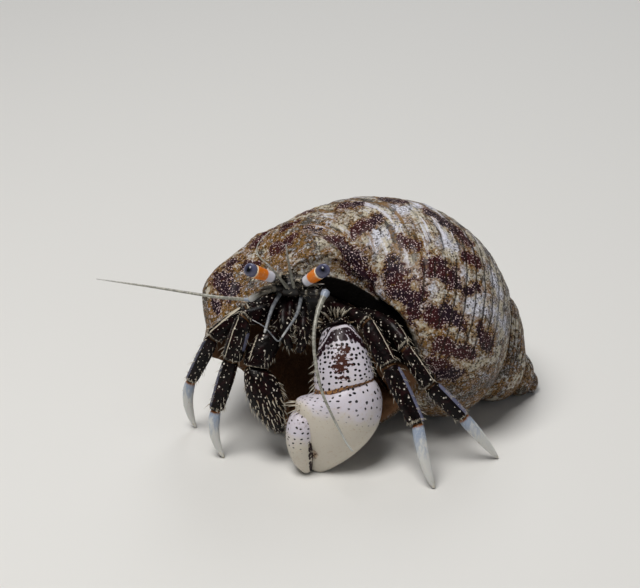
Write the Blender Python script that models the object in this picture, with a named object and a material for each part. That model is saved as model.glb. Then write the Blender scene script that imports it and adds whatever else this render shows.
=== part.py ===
"""A hermit crab in a turban shell, life size, as a still model.

The crab looks along -Y and stands on four walking legs and its big left claw. The shell lies over its
back and rests on the floor, with the point of its spire out at +X. The limbs carry bristles in rows.
Lengths are written in millimetres and turned into metres by mm(). "left" and "right" are the crab's own,
so its right side is at -X. The origin is on the floor, below the middle of the whole model's box.
"""

import math
import random
from dataclasses import dataclass

import bmesh
import bpy
from mathutils import Vector
from mathutils.bvhtree import BVHTree

MM = 0.001
GAP = 0.3
CORNER_LIMIT = 1.7
FACING = Vector((0.0, -1.0, 0.0))

# The shell: a tube that winds about an axis, its size shrinking by GROWTH in each turn to the apex
APEX = (33.9, -2.5, -0.25)
AXIS_HEADING = math.radians(13.2)
AXIS_DIP = math.radians(34.5)
MOUTH_ROLL = math.radians(86.2)
MOUTH_RADIUS = 14.1
GROWTH = 2.0
HEIGHT_RATIO = 4.36
AXIS_RATIO = 0.614
MOUTH_OVAL = 1.215
MOUTH_LEAN = math.radians(23.6)
TURNS = 4.1
RINGS_PER_TURN = 24
SPIRE_START = 1.3
SPIRE_RINGS_PER_TURN = 15
RING_SIDES = 28
COLUMELLA = 0.04
LIP_DROP = (0.2, -6.0, -5.0)
LIP_ANGLE = math.radians(257.0)
LIP_REACH = 0.12
SHELL_BULGES = (
    ((-16.5, -8.0, 22.0), 8.5, (-4.2, 0.2, 0.5)),
    ((-13.0, -5.0, 23.0), 9.0, (-0.4, 0.4, 1.1)),
    ((27.8, -3.0, 14.0), 7.0, (0.7, 0.0, 2.9)),
    ((-14.8, -11.5, 6.3), 9.0, (3.4, 0.6, 2.4)),
)
CAVITY_SIZE = 0.88
CAVITY_COLUMELLA = 0.14
CAVITY_TURNS = (-0.07, 0.42)
BODY_SIZE = 0.84
BODY_TURNS = (0.10, 0.38)


@dataclass(frozen=True)
class Finish:
    """The name, colour and roughness of a surface."""

    name: str
    colour: tuple
    roughness: float


SHELL_FINISH = Finish("turban shell", (0.48, 0.40, 0.32), 0.5)
DARK_FINISH = Finish("dark maroon cuticle", (0.035, 0.022, 0.024), 0.4)
PALE_FINISH = Finish("blue-white claw tip", (0.62, 0.66, 0.72), 0.35)
IVORY_FINISH = Finish("ivory claw", (0.82, 0.80, 0.74), 0.3)
STALK_FINISH = Finish("orange eyestalk", (0.80, 0.25, 0.05), 0.35)
EYE_FINISH = Finish("blue-violet cornea", (0.08, 0.09, 0.20), 0.15)
FEELER_FINISH = Finish("grey-green feeler", (0.45, 0.48, 0.46), 0.4)
FLESH_FINISH = Finish("brown soft body", (0.20, 0.13, 0.10), 0.5)


@dataclass(frozen=True)
class Leg:
    """A walking leg: its joints from the body to the tip, the segments' widths and the merus's bow."""

    name: str
    joints: tuple
    widths: tuple
    bow: tuple = (0.0, 0.0, 0.0)


LEGS = (
    Leg("leg_right_2", ((-6.8, -14.2, 21.4), (-10.2, -16.0, 20.9), (-15.2, -16.2, 16.7),
                        (-18.7, -14.6, 8.5), (-19.3, -14.1, 4.4), (-18.3, -13.8, 0.0)),
        (2.4, 2.5, 2.0, 1.6)),
    Leg("leg_right_1", ((-6.6, -15.2, 20.4), (-10.6, -19.5, 21.5), (-12.5, -20.5, 15.4),
                        (-14.8, -21.4, 7.7), (-15.1, -21.7, 3.8), (-13.8, -22.0, 0.0)),
        (2.6, 2.7, 2.3, 1.6)),
    Leg("leg_left_1", ((2.0, -13.8, 20.0), (6.6, -18.5, 20.2), (9.7, -22.5, 15.6),
                       (13.6, -27.2, 8.9), (14.5, -29.0, 4.6), (16.0, -30.0, 0.0)),
        (2.5, 2.6, 2.6, 1.8)),
    Leg("leg_left_2", ((4.2, -12.9, 18.6), (11.9, -21.4, 17.7), (15.4, -22.9, 12.7),
                       (20.2, -23.0, 7.5), (22.8, -22.7, 4.0), (25.6, -22.2, 0.0)),
        (2.2, 2.3, 2.3, 1.8), (1.1, -0.6, 2.0)),
)
SEGMENT_NAMES = ("merus", "carpus", "propodus", "dactyl")

# Pieces that crowd each other or meet: the first of each pair gives way to the second
NEIGHBOURS = (
    ("leg_left_2_merus", "leg_left_1_merus"), ("leg_left_2_merus", "leg_left_1_carpus"),
    ("leg_left_2_merus", "claw_left_merus"), ("leg_left_2_carpus", "leg_left_1_carpus"),
    ("leg_left_1_merus", "claw_left_merus"), ("leg_left_1_merus", "claw_left_carpus"),
    ("leg_right_2_merus", "leg_right_1_merus"), ("leg_right_1_merus", "claw_right_merus"),
    ("maxilliped_right", "claw_right_carpus"), ("maxilliped_right", "claw_right_merus"),
    ("antenna_left_base", "eyestalk_left"), ("antenna_right_base", "eyestalk_right"),
    ("exopod_left", "antenna_left_base"), ("exopod_right", "antenna_right_base"),
    ("antenna_left_flagellum_1", "antenna_left_base"), ("antenna_right_flagellum_1", "antenna_right_base"),
    ("claw_left_palm", "claw_left_finger"), ("claw_right_palm", "claw_right_finger"),
)
ON_BODY = (
    ("leg_left_2_merus", "shell"), ("leg_left_2_carpus", "shell"), ("leg_left_2_propodus", "shell"),
    ("leg_right_2_merus", "shell"), ("head", "thorax"), ("thorax", "abdomen"), ("thorax", "shell"),
    ("head", "shell"),
)
ON_THORAX = ("leg_left_1_merus", "leg_left_2_merus", "leg_right_1_merus", "leg_right_2_merus",
             "claw_left_merus", "claw_right_merus", "maxilliped_left", "maxilliped_right")
ON_HEAD = ("eyestalk_left", "eyestalk_right", "antenna_left_base", "antenna_right_base",
           "antennule_left", "antennule_right", "exopod_left", "exopod_right",
           "maxilliped_left", "maxilliped_right")

# Bristles: short stiff spikes in rows along a segment. A row is (the way it faces, with x away from the
# crab's middle, y to its back and z up; how many; the first and last share of the segment's length).
BRISTLE_WIDTH = 0.56
BRISTLE_SINK = 0.5
BRISTLE_SPACE = 0.75
SEED = 7


@dataclass(frozen=True)
class Coat:
    """The rows of bristles on a segment, with their length in mm and their lean along it in degrees."""

    rows: tuple
    length: float = 1.3
    lean: float = 42.0


LEG_COATS = {
    "merus": Coat((((0.3, -0.6, 0.7), 3, 0.3, 0.9),)),
    "carpus": Coat((((1.0, -0.2, 0.3), 4, 0.15, 0.92), ((0.2, -1.0, 0.2), 3, 0.2, 0.9),
                    ((-0.8, -0.6, -0.2), 3, 0.3, 0.9))),
    "propodus": Coat((((1.0, 0.0, 0.1), 6, 0.1, 0.96), ((0.3, -1.0, 0.0), 4, 0.15, 0.93),
                      ((-1.0, -0.3, 0.0), 6, 0.12, 0.96), ((0.0, 1.0, 0.0), 3, 0.2, 0.9)), 1.35),
    "dactyl": Coat((((1.0, 0.1, 0.1), 4, 0.07, 0.66), ((-1.0, -0.2, 0.0), 4, 0.07, 0.7),
                    ((0.2, -1.0, 0.0), 2, 0.12, 0.5), ((0.0, 1.0, 0.0), 2, 0.12, 0.5)), 1.15, 50.0),
}
COATS = {
    "claw_right_merus": Coat((((0.5, -0.6, 0.8), 4, 0.3, 0.95),)),
    "claw_right_carpus": Coat((((1.0, -0.3, 0.2), 5, 0.1, 0.95), ((0.3, -1.0, 0.3), 5, 0.1, 0.92),
                               ((-0.9, -0.6, 0.0), 4, 0.2, 0.92)), 1.5),
    "claw_right_palm": Coat((((1.0, 0.0, 0.0), 7, 0.08, 0.92), ((0.6, -1.0, 0.0), 6, 0.1, 0.85),
                             ((-0.2, -1.0, 0.0), 5, 0.08, 0.8), ((-1.0, -0.4, 0.0), 4, 0.08, 0.45),
                             ((0.6, 1.0, 0.0), 4, 0.15, 0.85)), 1.6),
    "claw_right_finger": Coat((((-0.8, -0.6, 0.0), 4, 0.2, 0.85), ((0.3, -1.0, 0.0), 2, 0.3, 0.8)), 1.2),
    "claw_left_merus": Coat((((0.0, -0.3, 1.0), 5, 0.3, 0.98), ((0.7, -0.2, 0.8), 3, 0.5, 0.98),
                             ((-0.7, -0.2, 0.8), 3, 0.5, 0.98)), 1.5),
    "claw_left_carpus": Coat((((-1.0, 0.1, 0.0), 5, 0.45, 0.97), ((1.0, 0.1, 0.1), 4, 0.3, 0.95),
                              ((0.0, -1.0, 0.6), 3, 0.04, 0.1)), 1.3),
    "claw_left_palm": Coat((((-1.0, -0.1, 0.0), 8, 0.05, 0.4), ((-0.8, 0.8, 0.0), 4, 0.1, 0.45),
                            ((1.0, 0.3, 0.0), 5, 0.1, 0.8)), 1.7, 30.0),
    "claw_left_finger": Coat((((-1.0, 0.2, 0.0), 5, 0.1, 0.85),), 1.1),
    "maxilliped_right": Coat((((0.6, -1.0, 0.0), 4, 0.3, 0.97), ((-0.5, -1.0, 0.0), 4, 0.35, 0.97)), 1.5),
    "maxilliped_left": Coat((((0.6, -1.0, 0.0), 4, 0.3, 0.97), ((-0.5, -1.0, 0.0), 4, 0.35, 0.97)), 1.5),
    "antenna_right_base": Coat((((0.0, -0.6, 1.0), 3, 0.3, 0.8), ((0.0, -1.0, -0.5), 2, 0.3, 0.8)), 1.3),
    "antenna_left_base": Coat((((0.0, -0.6, 1.0), 3, 0.3, 0.8), ((0.0, -1.0, -0.5), 2, 0.3, 0.8)), 1.3),
}
# The bent line of each limb segment, by name, which limb() fills in
CENTRE_LINES = {}
# What is tried to bend a bristle clear: a change of its lean in degrees and a share of its length
LEANS = ((0, 1.0), (15, 1.0), (-20, 1.0), (15, 0.75), (-25, 0.75), (25, 0.6))


def mm(point):
    """Turns a place or a length in millimetres into metres."""
    if isinstance(point, (int, float)):
        return point * MM
    return Vector(point) * MM


def clear_scene():
    """Removes the objects that the scene starts with."""
    for item in list(bpy.data.objects):
        bpy.data.objects.remove(item)


def material(finish):
    """Gives the Principled material of a finish, made at its first use."""
    found = bpy.data.materials.get(finish.name)
    if found:
        return found
    made = bpy.data.materials.new(finish.name)
    made.use_nodes = True
    shader = made.node_tree.nodes["Principled BSDF"]
    shader.inputs["Base Color"].default_value = (*finish.colour, 1.0)
    shader.inputs["Roughness"].default_value = finish.roughness
    shader.inputs["Metallic"].default_value = 0.0
    return made


def new_collection(name):
    """Makes a collection in the scene."""
    made = bpy.data.collections.new(name)
    bpy.context.scene.collection.children.link(made)
    return made


def add_object(name, mesh, finish, collection):
    """Puts a mesh in the scene as a named object with its finish."""
    item = bpy.data.objects.new(name, mesh)
    collection.objects.link(item)
    mesh.materials.append(material(finish))
    mesh.shade_smooth()
    mesh.set_sharp_from_angle(angle=math.radians(40.0))
    return item


def loft(name, rings):
    """Joins rings of points with faces and closes both ends with a fan about their middle."""
    bm = bmesh.new()
    rows = [[bm.verts.new(point) for point in ring] for ring in rings]
    sides = len(rings[0])
    for near, far in zip(rows, rows[1:]):
        for j in range(sides):
            k = (j + 1) % sides
            bm.faces.new((near[j], near[k], far[k], far[j]))
    for row in (rows[0], rows[-1]):
        hub = bm.verts.new(sum((vert.co for vert in row), Vector()) / sides)
        for j in range(sides):
            bm.faces.new((row[j], row[(j + 1) % sides], hub))
    bmesh.ops.recalc_face_normals(bm, faces=bm.faces)
    bmesh.ops.triangulate(bm, faces=bm.faces)
    mesh = bpy.data.meshes.new(name)
    bm.to_mesh(mesh)
    bm.free()
    return mesh


def oval(centre, normal, width, depth, sides):
    """A ring of points: width is across as seen from the front, depth is the other way."""
    across = normal.cross(FACING).normalized()
    back = across.cross(normal).normalized()
    turns = (2.0 * math.pi * j / sides for j in range(sides))
    return [centre + across * (width / 2 * math.cos(t)) + back * (depth / 2 * math.sin(t)) for t in turns]


def curve_point(start, middle, end, t):
    """A point on the curve that passes through the middle point half way."""
    pull = 2 * middle - (start + end) / 2
    return start * (1 - t) ** 2 + pull * 2 * t * (1 - t) + end * t ** 2


def limb(name, start, middle, end, profile, depth_ratio, sides=12, start_plane=None, end_plane=None,
         turn_share=0.25):
    """A limb segment along a gently bent line.

    profile lists (share of the length, width in mm). The end faces lie in the given planes, so that
    two segments meet face to face across their joint with the gap between them. The rings turn into
    those planes over the turn_share of the length next to each end.
    """
    start, middle, end = mm(start), mm(middle), mm(end)
    CENTRE_LINES[name] = (start, middle, end)
    first = (curve_point(start, middle, end, 0.02) - start).normalized()
    last = (end - curve_point(start, middle, end, 0.98)).normalized()
    start_plane = start_plane or first
    end_plane = end_plane or last
    start = start + start_plane * mm(GAP / 2)
    end = end - end_plane * mm(GAP / 2)
    rings = []
    for share, width in profile:
        centre = curve_point(start, middle, end, share)
        ahead = curve_point(start, middle, end, min(share + 0.01, 1.0))
        behind = curve_point(start, middle, end, max(share - 0.01, 0.0))
        along = (ahead - behind).normalized()
        pull_start = max(0.0, 1 - share / turn_share)
        pull_end = max(0.0, 1 - (1 - share) / turn_share)
        normal = (along + (start_plane - along) * pull_start + (end_plane - along) * pull_end).normalized()
        rings.append(oval(centre, normal, mm(width), mm(width * depth_ratio), sides))
    return loft(name, rings)


def joint_plane(before, joint, after):
    """The direction that halves the bend at a joint."""
    first = (Vector(joint) - Vector(before)).normalized()
    second = (Vector(after) - Vector(joint)).normalized()
    return (first + second).normalized()


def midpoint(first, second, bow=(0.0, 0.0, 0.0)):
    """The point half way between two places, moved by the bow."""
    return tuple((a + b) / 2 + c for a, b, c in zip(first, second, bow))


def boolean(item, other, operation, solver="EXACT", self_crossing=False):
    """Applies a Boolean with one object or with all the objects of a collection."""
    step = item.modifiers.new(operation, "BOOLEAN")
    step.operation = operation
    step.solver = solver
    step.use_self = self_crossing
    if isinstance(other, bpy.types.Collection):
        step.operand_type = "COLLECTION"
        step.collection = other
    else:
        step.object = other
    graph = bpy.context.evaluated_depsgraph_get()
    mesh = bpy.data.meshes.new_from_object(item.evaluated_get(graph))
    old = item.data
    name = old.name
    item.modifiers.clear()
    item.data = mesh
    bpy.data.meshes.remove(old)
    mesh.name = name
    keep_largest(mesh)


def keep_largest(mesh):
    """Keeps only the largest closed surface of a mesh."""
    bm = bmesh.new()
    bm.from_mesh(mesh)
    bmesh.ops.triangulate(bm, faces=bm.faces)
    bmesh.ops.remove_doubles(bm, verts=bm.verts, dist=2e-7)
    bmesh.ops.dissolve_degenerate(bm, edges=bm.edges, dist=2e-7)
    bmesh.ops.triangulate(bm, faces=bm.faces)
    groups = []
    left = set(bm.faces)
    while left:
        stack = [left.pop()]
        group = list(stack)
        while stack:
            face = stack.pop()
            beside = {other for edge in face.edges for other in edge.link_faces} & left
            left -= beside
            stack.extend(beside)
            group.extend(beside)
        groups.append(group)
    largest = max(groups, key=lambda faces: sum(face.calc_area() for face in faces))
    for group in groups:
        if group is not largest:
            bmesh.ops.delete(bm, geom=group, context="FACES")
    loose = [vert for vert in bm.verts if not vert.link_faces]
    bmesh.ops.delete(bm, geom=loose, context="VERTS")
    bm.to_mesh(mesh)
    bm.free()


def cut_clear(item, other, gap=GAP):
    """Cuts a piece back so that it ends the gap away from another."""
    swollen = bpy.data.meshes.new_from_object(other)
    bm = bmesh.new()
    bm.from_mesh(swollen)
    bm.normal_update()
    moves = [(vert, vert.normal * min(vert.calc_shell_factor(), CORNER_LIMIT)) for vert in bm.verts]
    for vert, move in moves:
        vert.co += move * mm(gap)
    bm.to_mesh(swollen)
    bm.free()
    cutter = bpy.data.objects.new("cutter", swollen)
    item.users_collection[0].objects.link(cutter)
    boolean(item, cutter, "DIFFERENCE")
    bpy.data.objects.remove(cutter)


def stand_flat(item):
    """Cuts a piece off at the floor, which leaves a small flat under it."""
    bm = bmesh.new()
    bm.from_mesh(item.data)
    whole = bm.verts[:] + bm.edges[:] + bm.faces[:]
    cut = bmesh.ops.bisect_plane(bm, geom=whole, plane_co=(0, 0, 0), plane_no=(0, 0, -1), clear_outer=True)
    rim = [part for part in cut["geom_cut"] if isinstance(part, bmesh.types.BMEdge)]
    if rim:
        bmesh.ops.holes_fill(bm, edges=rim, sides=0)
        bmesh.ops.recalc_face_normals(bm, faces=bm.faces)
        bmesh.ops.triangulate(bm, faces=bm.faces)
    bm.to_mesh(item.data)
    bm.free()


def shell_axis():
    """The shell's axis, towards the apex, with two directions square to it."""
    level = math.cos(AXIS_DIP)
    along = Vector((level * math.cos(AXIS_HEADING), level * math.sin(AXIS_HEADING), -math.sin(AXIS_DIP)))
    side = along.cross(Vector((0.0, 0.0, 1.0))).normalized()
    return along, side, along.cross(side)


def shell_ring(turn, size=1.0, columella=COLUMELLA):
    """The outline of the tube at a number of turns back from the mouth."""
    along, side, other = shell_axis()
    shrink = GROWTH ** -turn
    angle = MOUTH_ROLL + 2 * math.pi * turn
    out = side * math.cos(angle) + other * math.sin(angle)
    ahead = out.cross(along)
    tilt = along * math.cos(MOUTH_LEAN) + ahead * math.sin(MOUTH_LEAN)
    base = Vector(APEX) - along * (HEIGHT_RATIO * AXIS_RATIO * MOUTH_RADIUS * shrink)
    reach = MOUTH_RADIUS * shrink
    points = []
    for j in range(RING_SIDES):
        around = 2 * math.pi * j / RING_SIDES
        from_axis = max(AXIS_RATIO + size * math.cos(around), columella)
        point = base + out * (reach * from_axis) + tilt * (reach * size * MOUTH_OVAL * math.sin(around))
        drop = max(0.0, math.cos(around - LIP_ANGLE)) ** 2 * min(max(0.0, 1 - turn / LIP_REACH), 1.2)
        point += Vector(LIP_DROP) * drop
        moves = [Vector(push) * max(0.0, 1 - ((point - Vector(centre)).length / radius) ** 2) ** 2
                 for centre, radius, push in SHELL_BULGES]
        points.append(mm(point + sum(moves, Vector())))
    return points


def shell_tube(name, start, end, size=1.0, columella=COLUMELLA):
    """A closed length of the shell's tube between two turns."""
    turns = [start]
    while turns[-1] < end - 0.01:
        per_turn = RINGS_PER_TURN if turns[-1] < SPIRE_START else SPIRE_RINGS_PER_TURN
        turns.append(min(end, turns[-1] + 1 / per_turn))
    return loft(name, [shell_ring(turn, size, columella) for turn in turns])


def build_shell(collection):
    """The shell: its whorls joined, the mouth hollowed out, and a flat where it rests."""
    shell = add_object("shell", shell_tube("shell", 0.0, TURNS), SHELL_FINISH, collection)
    seed_mesh = bpy.data.meshes.new("seed")
    bm = bmesh.new()
    bmesh.ops.create_cube(bm, size=mm(1.0))
    middle = sum(shell_ring(0.2), Vector()) / RING_SIDES
    bmesh.ops.translate(bm, verts=bm.verts, vec=middle)
    bm.to_mesh(seed_mesh)
    bm.free()
    seed = add_object("seed", seed_mesh, SHELL_FINISH, collection)
    boolean(shell, seed, "UNION", self_crossing=True)
    bpy.data.objects.remove(seed)
    hollow = shell_tube("hollow", *CAVITY_TURNS, CAVITY_SIZE, CAVITY_COLUMELLA)
    cutter = add_object("hollow", hollow, SHELL_FINISH, collection)
    boolean(shell, cutter, "DIFFERENCE")
    bpy.data.objects.remove(cutter)
    stand_flat(shell)
    return shell


def build_body(collection):
    """The soft body in the shell, the thorax in its mouth and the head shield above that."""
    columella = CAVITY_COLUMELLA + CAVITY_SIZE - BODY_SIZE
    add_object("abdomen", shell_tube("abdomen", *BODY_TURNS, BODY_SIZE, columella), FLESH_FINISH, collection)
    stations = (((-0.8, -6.0, 16.4), 12.0, 11.0), ((-1.4, -9.5, 17.6), 12.0, 10.6),
                ((-2.2, -12.6, 18.8), 10.6, 9.2), ((-2.8, -14.6, 19.6), 7.2, 6.4),
                ((-3.1, -15.5, 19.9), 3.4, 3.2))
    rings = [oval_upright(mm(centre), mm(width), mm(height)) for centre, width, height in stations]
    add_object("thorax", loft("thorax", rings), DARK_FINISH, collection)
    stations = (((-3.6, -9.6, 24.6), 5.0, 2.6), ((-3.8, -12.4, 25.0), 6.6, 3.6),
                ((-4.0, -15.0, 25.0), 6.2, 4.0), ((-4.1, -16.6, 24.6), 4.6, 3.2),
                ((-4.1, -17.2, 24.4), 2.6, 1.8))
    rings = [oval_upright(mm(centre), mm(width), mm(height)) for centre, width, height in stations]
    add_object("head", loft("head", rings), DARK_FINISH, collection)


def oval_upright(centre, width, height, sides=18):
    """A ring of points that stands square to the crab's length."""
    turns = (2.0 * math.pi * j / sides for j in range(sides))
    return [centre + Vector((width / 2 * math.cos(t), 0.0, height / 2 * math.sin(t))) for t in turns]


def build_eyes(collection):
    """The two eyestalks and their corneas."""
    places = {"right": ((-5.2, -16.2, 25.7), (-8.9, -18.7, 28.4), (-9.9, -19.2, 29.1)),
              "left": ((-3.1, -16.4, 24.9), (-0.25, -18.7, 28.15), (0.75, -19.3, 29.15))}
    for side, (root, neck, tip) in places.items():
        plane = (Vector(tip) - Vector(neck)).normalized()
        profile = ((0.0, 1.1), (0.3, 1.45), (0.6, 1.5), (0.85, 1.7), (1.0, 1.8))
        stalk = limb(f"eyestalk_{side}", root, midpoint(root, neck), neck, profile, 1.0, 12, None, plane)
        add_object(f"eyestalk_{side}", stalk, STALK_FINISH, collection)
        profile = ((0.0, 1.7), (0.15, 1.9), (0.4, 2.0), (0.65, 1.85), (0.85, 1.35), (1.0, 0.5))
        end = tuple(Vector(tip) + plane * 0.5)
        eye = limb(f"eye_{side}", neck, midpoint(neck, end), end, profile, 1.0, 14, plane, None)
        add_object(f"eye_{side}", eye, EYE_FINISH, collection)


def tube(name, points, widths, finish, collection):
    """A feeler: a curve through its points, each with its own width, made a closed mesh."""
    curve = bpy.data.curves.new(name, "CURVE")
    curve.dimensions = "3D"
    curve.bevel_depth = mm(0.5)
    curve.bevel_resolution = 1
    curve.use_fill_caps = True
    spline = curve.splines.new("POLY")
    spline.points.add(len(points) - 1)
    for place, point, width in zip(spline.points, points, widths):
        place.co = (*mm(point), 1.0)
        place.radius = width
    drawn = bpy.data.objects.new(name, curve)
    collection.objects.link(drawn)
    graph = bpy.context.evaluated_depsgraph_get()
    mesh = bpy.data.meshes.new_from_object(drawn.evaluated_get(graph))
    bpy.data.objects.remove(drawn)
    bm = bmesh.new()
    bm.from_mesh(mesh)
    bmesh.ops.remove_doubles(bm, verts=bm.verts, dist=1e-6)
    bmesh.ops.recalc_face_normals(bm, faces=bm.faces)
    bmesh.ops.triangulate(bm, faces=bm.faces)
    bm.to_mesh(mesh)
    bm.free()
    mesh.materials.clear()
    return add_object(name, mesh, finish, collection)


def smooth_route(points, count):
    """Points spread evenly on a smooth curve through the given ones."""
    knots = [Vector(point) for point in points]
    knots = [2 * knots[0] - knots[1], *knots, 2 * knots[-1] - knots[-2]]
    dense = []
    for a, b, c, d in zip(knots, knots[1:], knots[2:], knots[3:]):
        for i in range(12):
            t = i / 12
            dense.append(0.5 * (2 * b + (c - a) * t + (2 * a - 5 * b + 4 * c - d) * t ** 2
                                + (3 * b - a - 3 * c + d) * t ** 3))
    dense.append(knots[-2])
    travel = [0.0]
    for near, far in zip(dense, dense[1:]):
        travel.append(travel[-1] + (far - near).length)
    route = []
    for i in range(count):
        goal = travel[-1] * i / (count - 1)
        k = max(j for j, value in enumerate(travel[:-1]) if value <= goal)
        share = (goal - travel[k]) / (travel[k + 1] - travel[k])
        route.append(dense[k].lerp(dense[k + 1], share))
    return route


def feeler(name, points, root_width, tip_width, count, finish, collection, trim=(0.0, 0.0)):
    """A tapering feeler along a smooth route, shortened at its ends by the trims."""
    route = smooth_route(points, count)
    route[0] += (route[1] - route[0]).normalized() * trim[0]
    route[-1] -= (route[-1] - route[-2]).normalized() * trim[1]
    widths = [root_width + (tip_width - root_width) * i / (count - 1) for i in range(count)]
    return tube(name, route, widths, finish, collection)


def build_feelers(collection):
    """Both antennae with their bases, the antennules and the rods beside the mouth."""
    bases = {"right": ((-5.2, -16.3, 24.6), (-7.3, -17.8, 25.1), (-9.9, -18.6, 23.9)),
             "left": ((-2.9, -16.4, 24.2), (-1.1, -18.2, 24.9), (1.0, -19.2, 25.7))}
    for side, points in bases.items():
        profile = ((0.0, 1.1), (0.3, 1.2), (0.65, 1.1), (1.0, 0.95))
        base = limb(f"antenna_{side}_base", *points, profile, 1.0, 12)
        add_object(f"antenna_{side}_base", base, FEELER_FINISH, collection)
    right = ((-9.9, -18.6, 23.9), (-13.2, -19.0, 24.5), (-16.7, -18.6, 24.8), (-23.8, -17.0, 25.2),
             (-31.7, -15.0, 25.4))
    split_feeler("antenna_right", right, 0.72, 0.5, 0.32, 12, collection)
    left = ((1.0, -19.2, 25.7), (0.3, -20.4, 24.9), (-0.3, -21.8, 23.8), (-0.8, -24.0, 22.1),
            (-0.8, -26.0, 20.1), (-0.3, -28.2, 17.4), (0.7, -30.2, 14.6), (3.4, -32.6, 9.7),
            (4.5, -33.2, 8.1))
    split_feeler("antenna_left", left, 0.85, 0.55, 0.34, 10, collection)
    uppers = {"right": ((-4.6, -16.9, 25.0), (-5.9, -18.9, 28.0), (-7.4, -20.2, 30.6)),
              "left": ((-3.6, -16.8, 24.9), (-4.3, -17.6, 28.9), (-4.7, -18.4, 32.7))}
    for side, points in uppers.items():
        feeler(f"antennule_{side}", points, 0.7, 0.4, 7, FEELER_FINISH, collection)
    rods = {"right": ((-5.6, -16.4, 23.8), (-6.7, -19.0, 22.8), (-7.7, -22.6, 20.9)),
            "left": ((-2.6, -16.6, 23.4), (-3.3, -20.0, 22.3), (-5.3, -23.2, 20.5))}
    for side, points in rods.items():
        feeler(f"exopod_{side}", points, 0.95, 0.45, 7, PALE_FINISH, collection)


def split_feeler(name, points, root_width, middle_width, tip_width, count, collection):
    """A long feeler in two lengths that meet face to face."""
    route = smooth_route(points, 2 * count - 1)
    near, far = route[:count], route[count - 1:]
    feeler(f"{name}_flagellum_1", near, root_width, middle_width, count, FEELER_FINISH, collection,
           (0.0, GAP / 2))
    feeler(f"{name}_flagellum_2", far, middle_width, tip_width, count, FEELER_FINISH, collection,
           (GAP / 2, 0.0))


def build_mouth(collection):
    """The two outer mouth limbs that hang between the claws."""
    places = {"right": ((-4.8, -15.4, 22.2), (-5.1, -19.0, 20.0), (-4.1, -20.0, 16.7)),
              "left": ((-2.9, -15.6, 22.0), (-2.3, -19.2, 19.7), (-3.0, -20.2, 16.4))}
    for side, points in places.items():
        profile = ((0.0, 1.6), (0.25, 2.0), (0.5, 2.0), (0.8, 1.7), (1.0, 0.8))
        jaw = limb(f"maxilliped_{side}", *points, profile, 0.9, 12)
        add_object(f"maxilliped_{side}", jaw, DARK_FINISH, collection)


def build_leg(leg, collection):
    """A walking leg of four segments, the last one curved and standing on its tip."""
    hip, knee, wrist, heel, bend, tip = leg.joints
    planes = (None, joint_plane(hip, knee, wrist), joint_plane(knee, wrist, heel),
              joint_plane(wrist, heel, bend))
    spans = ((hip, midpoint(hip, knee, leg.bow), knee), (knee, midpoint(knee, wrist), wrist),
             (wrist, midpoint(wrist, heel), heel), (heel, bend, tip))
    shapes = (((0.0, 0.95), (0.3, 1.05), (0.7, 1.0), (1.0, 0.8)),
              ((0.0, 0.8), (0.25, 1.0), (0.7, 1.05), (1.0, 0.85)),
              ((0.0, 0.85), (0.2, 1.05), (0.55, 1.05), (0.85, 0.9), (1.0, 0.8)),
              ((0.0, 0.9), (0.15, 1.0), (0.4, 0.9), (0.7, 0.62), (0.9, 0.38), (1.0, 0.3)))
    for i, name in enumerate(SEGMENT_NAMES):
        profile = [(share, factor * leg.widths[i]) for share, factor in shapes[i]]
        after = planes[i + 1] if i < 3 else Vector((0.0, 0.0, -1.0))
        mesh = limb(f"{leg.name}_{name}", *spans[i], profile, 0.85, 12, planes[i], after)
        finish = PALE_FINISH if name == "dactyl" else DARK_FINISH
        segment = add_object(f"{leg.name}_{name}", mesh, finish, collection)
        if name == "dactyl":
            for vert in segment.data.vertices:
                vert.co.z -= mm(GAP) * max(0.0, 1 - vert.co.z / mm(2.0))
            stand_flat(segment)


def build_big_claw(collection):
    """The big left claw: a fan-shaped merus, the dotted wrist, the ivory palm and its moving finger."""
    root, wrist, palm_root = (1.0, -13.2, 18.6), (2.1, -17.8, 19.9), (3.4, -22.2, 12.1)
    palm_tip = (-0.8, -25.2, -0.1)
    across = joint_plane(root, wrist, palm_root)
    mesh = limb("claw_left_merus", root, midpoint(root, wrist), wrist,
                ((0.0, 3.4), (0.25, 4.0), (0.5, 4.4), (0.75, 4.4), (1.0, 4.2)), 0.9, 16, None, across, 0.6)
    add_object("claw_left_merus", mesh, DARK_FINISH, collection)
    hinge = joint_plane(wrist, palm_root, palm_tip)
    mesh = limb("claw_left_carpus", wrist, midpoint(wrist, palm_root, (0.3, -0.4, 0.2)), palm_root,
                ((0.0, 4.2), (0.12, 5.6), (0.4, 6.8), (0.7, 8.0), (0.9, 8.2), (1.0, 7.6)), 0.8, 20,
                across, hinge)
    add_object("claw_left_carpus", mesh, IVORY_FINISH, collection)
    mesh = limb("claw_left_palm", palm_root, midpoint(palm_root, palm_tip, (0.4, -0.3, 0.0)), palm_tip,
                ((0.0, 8.0), (0.1, 11.0), (0.25, 12.4), (0.45, 11.4), (0.65, 8.8), (0.82, 5.6), (1.0, 1.6)),
                0.68, 20, hinge, None)
    stand_flat(add_object("claw_left_palm", mesh, IVORY_FINISH, collection))
    finger_root, finger_tip = (-2.7, -24.8, 7.2), (-1.8, -25.6, -0.1)
    mesh = limb("claw_left_finger", finger_root, midpoint(finger_root, finger_tip, (-0.7, -0.2, 0.0)),
                finger_tip, ((0.0, 2.4), (0.2, 3.4), (0.5, 3.6), (0.75, 2.8), (1.0, 1.0)), 1.3, 14)
    stand_flat(add_object("claw_left_finger", mesh, IVORY_FINISH, collection))


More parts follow.
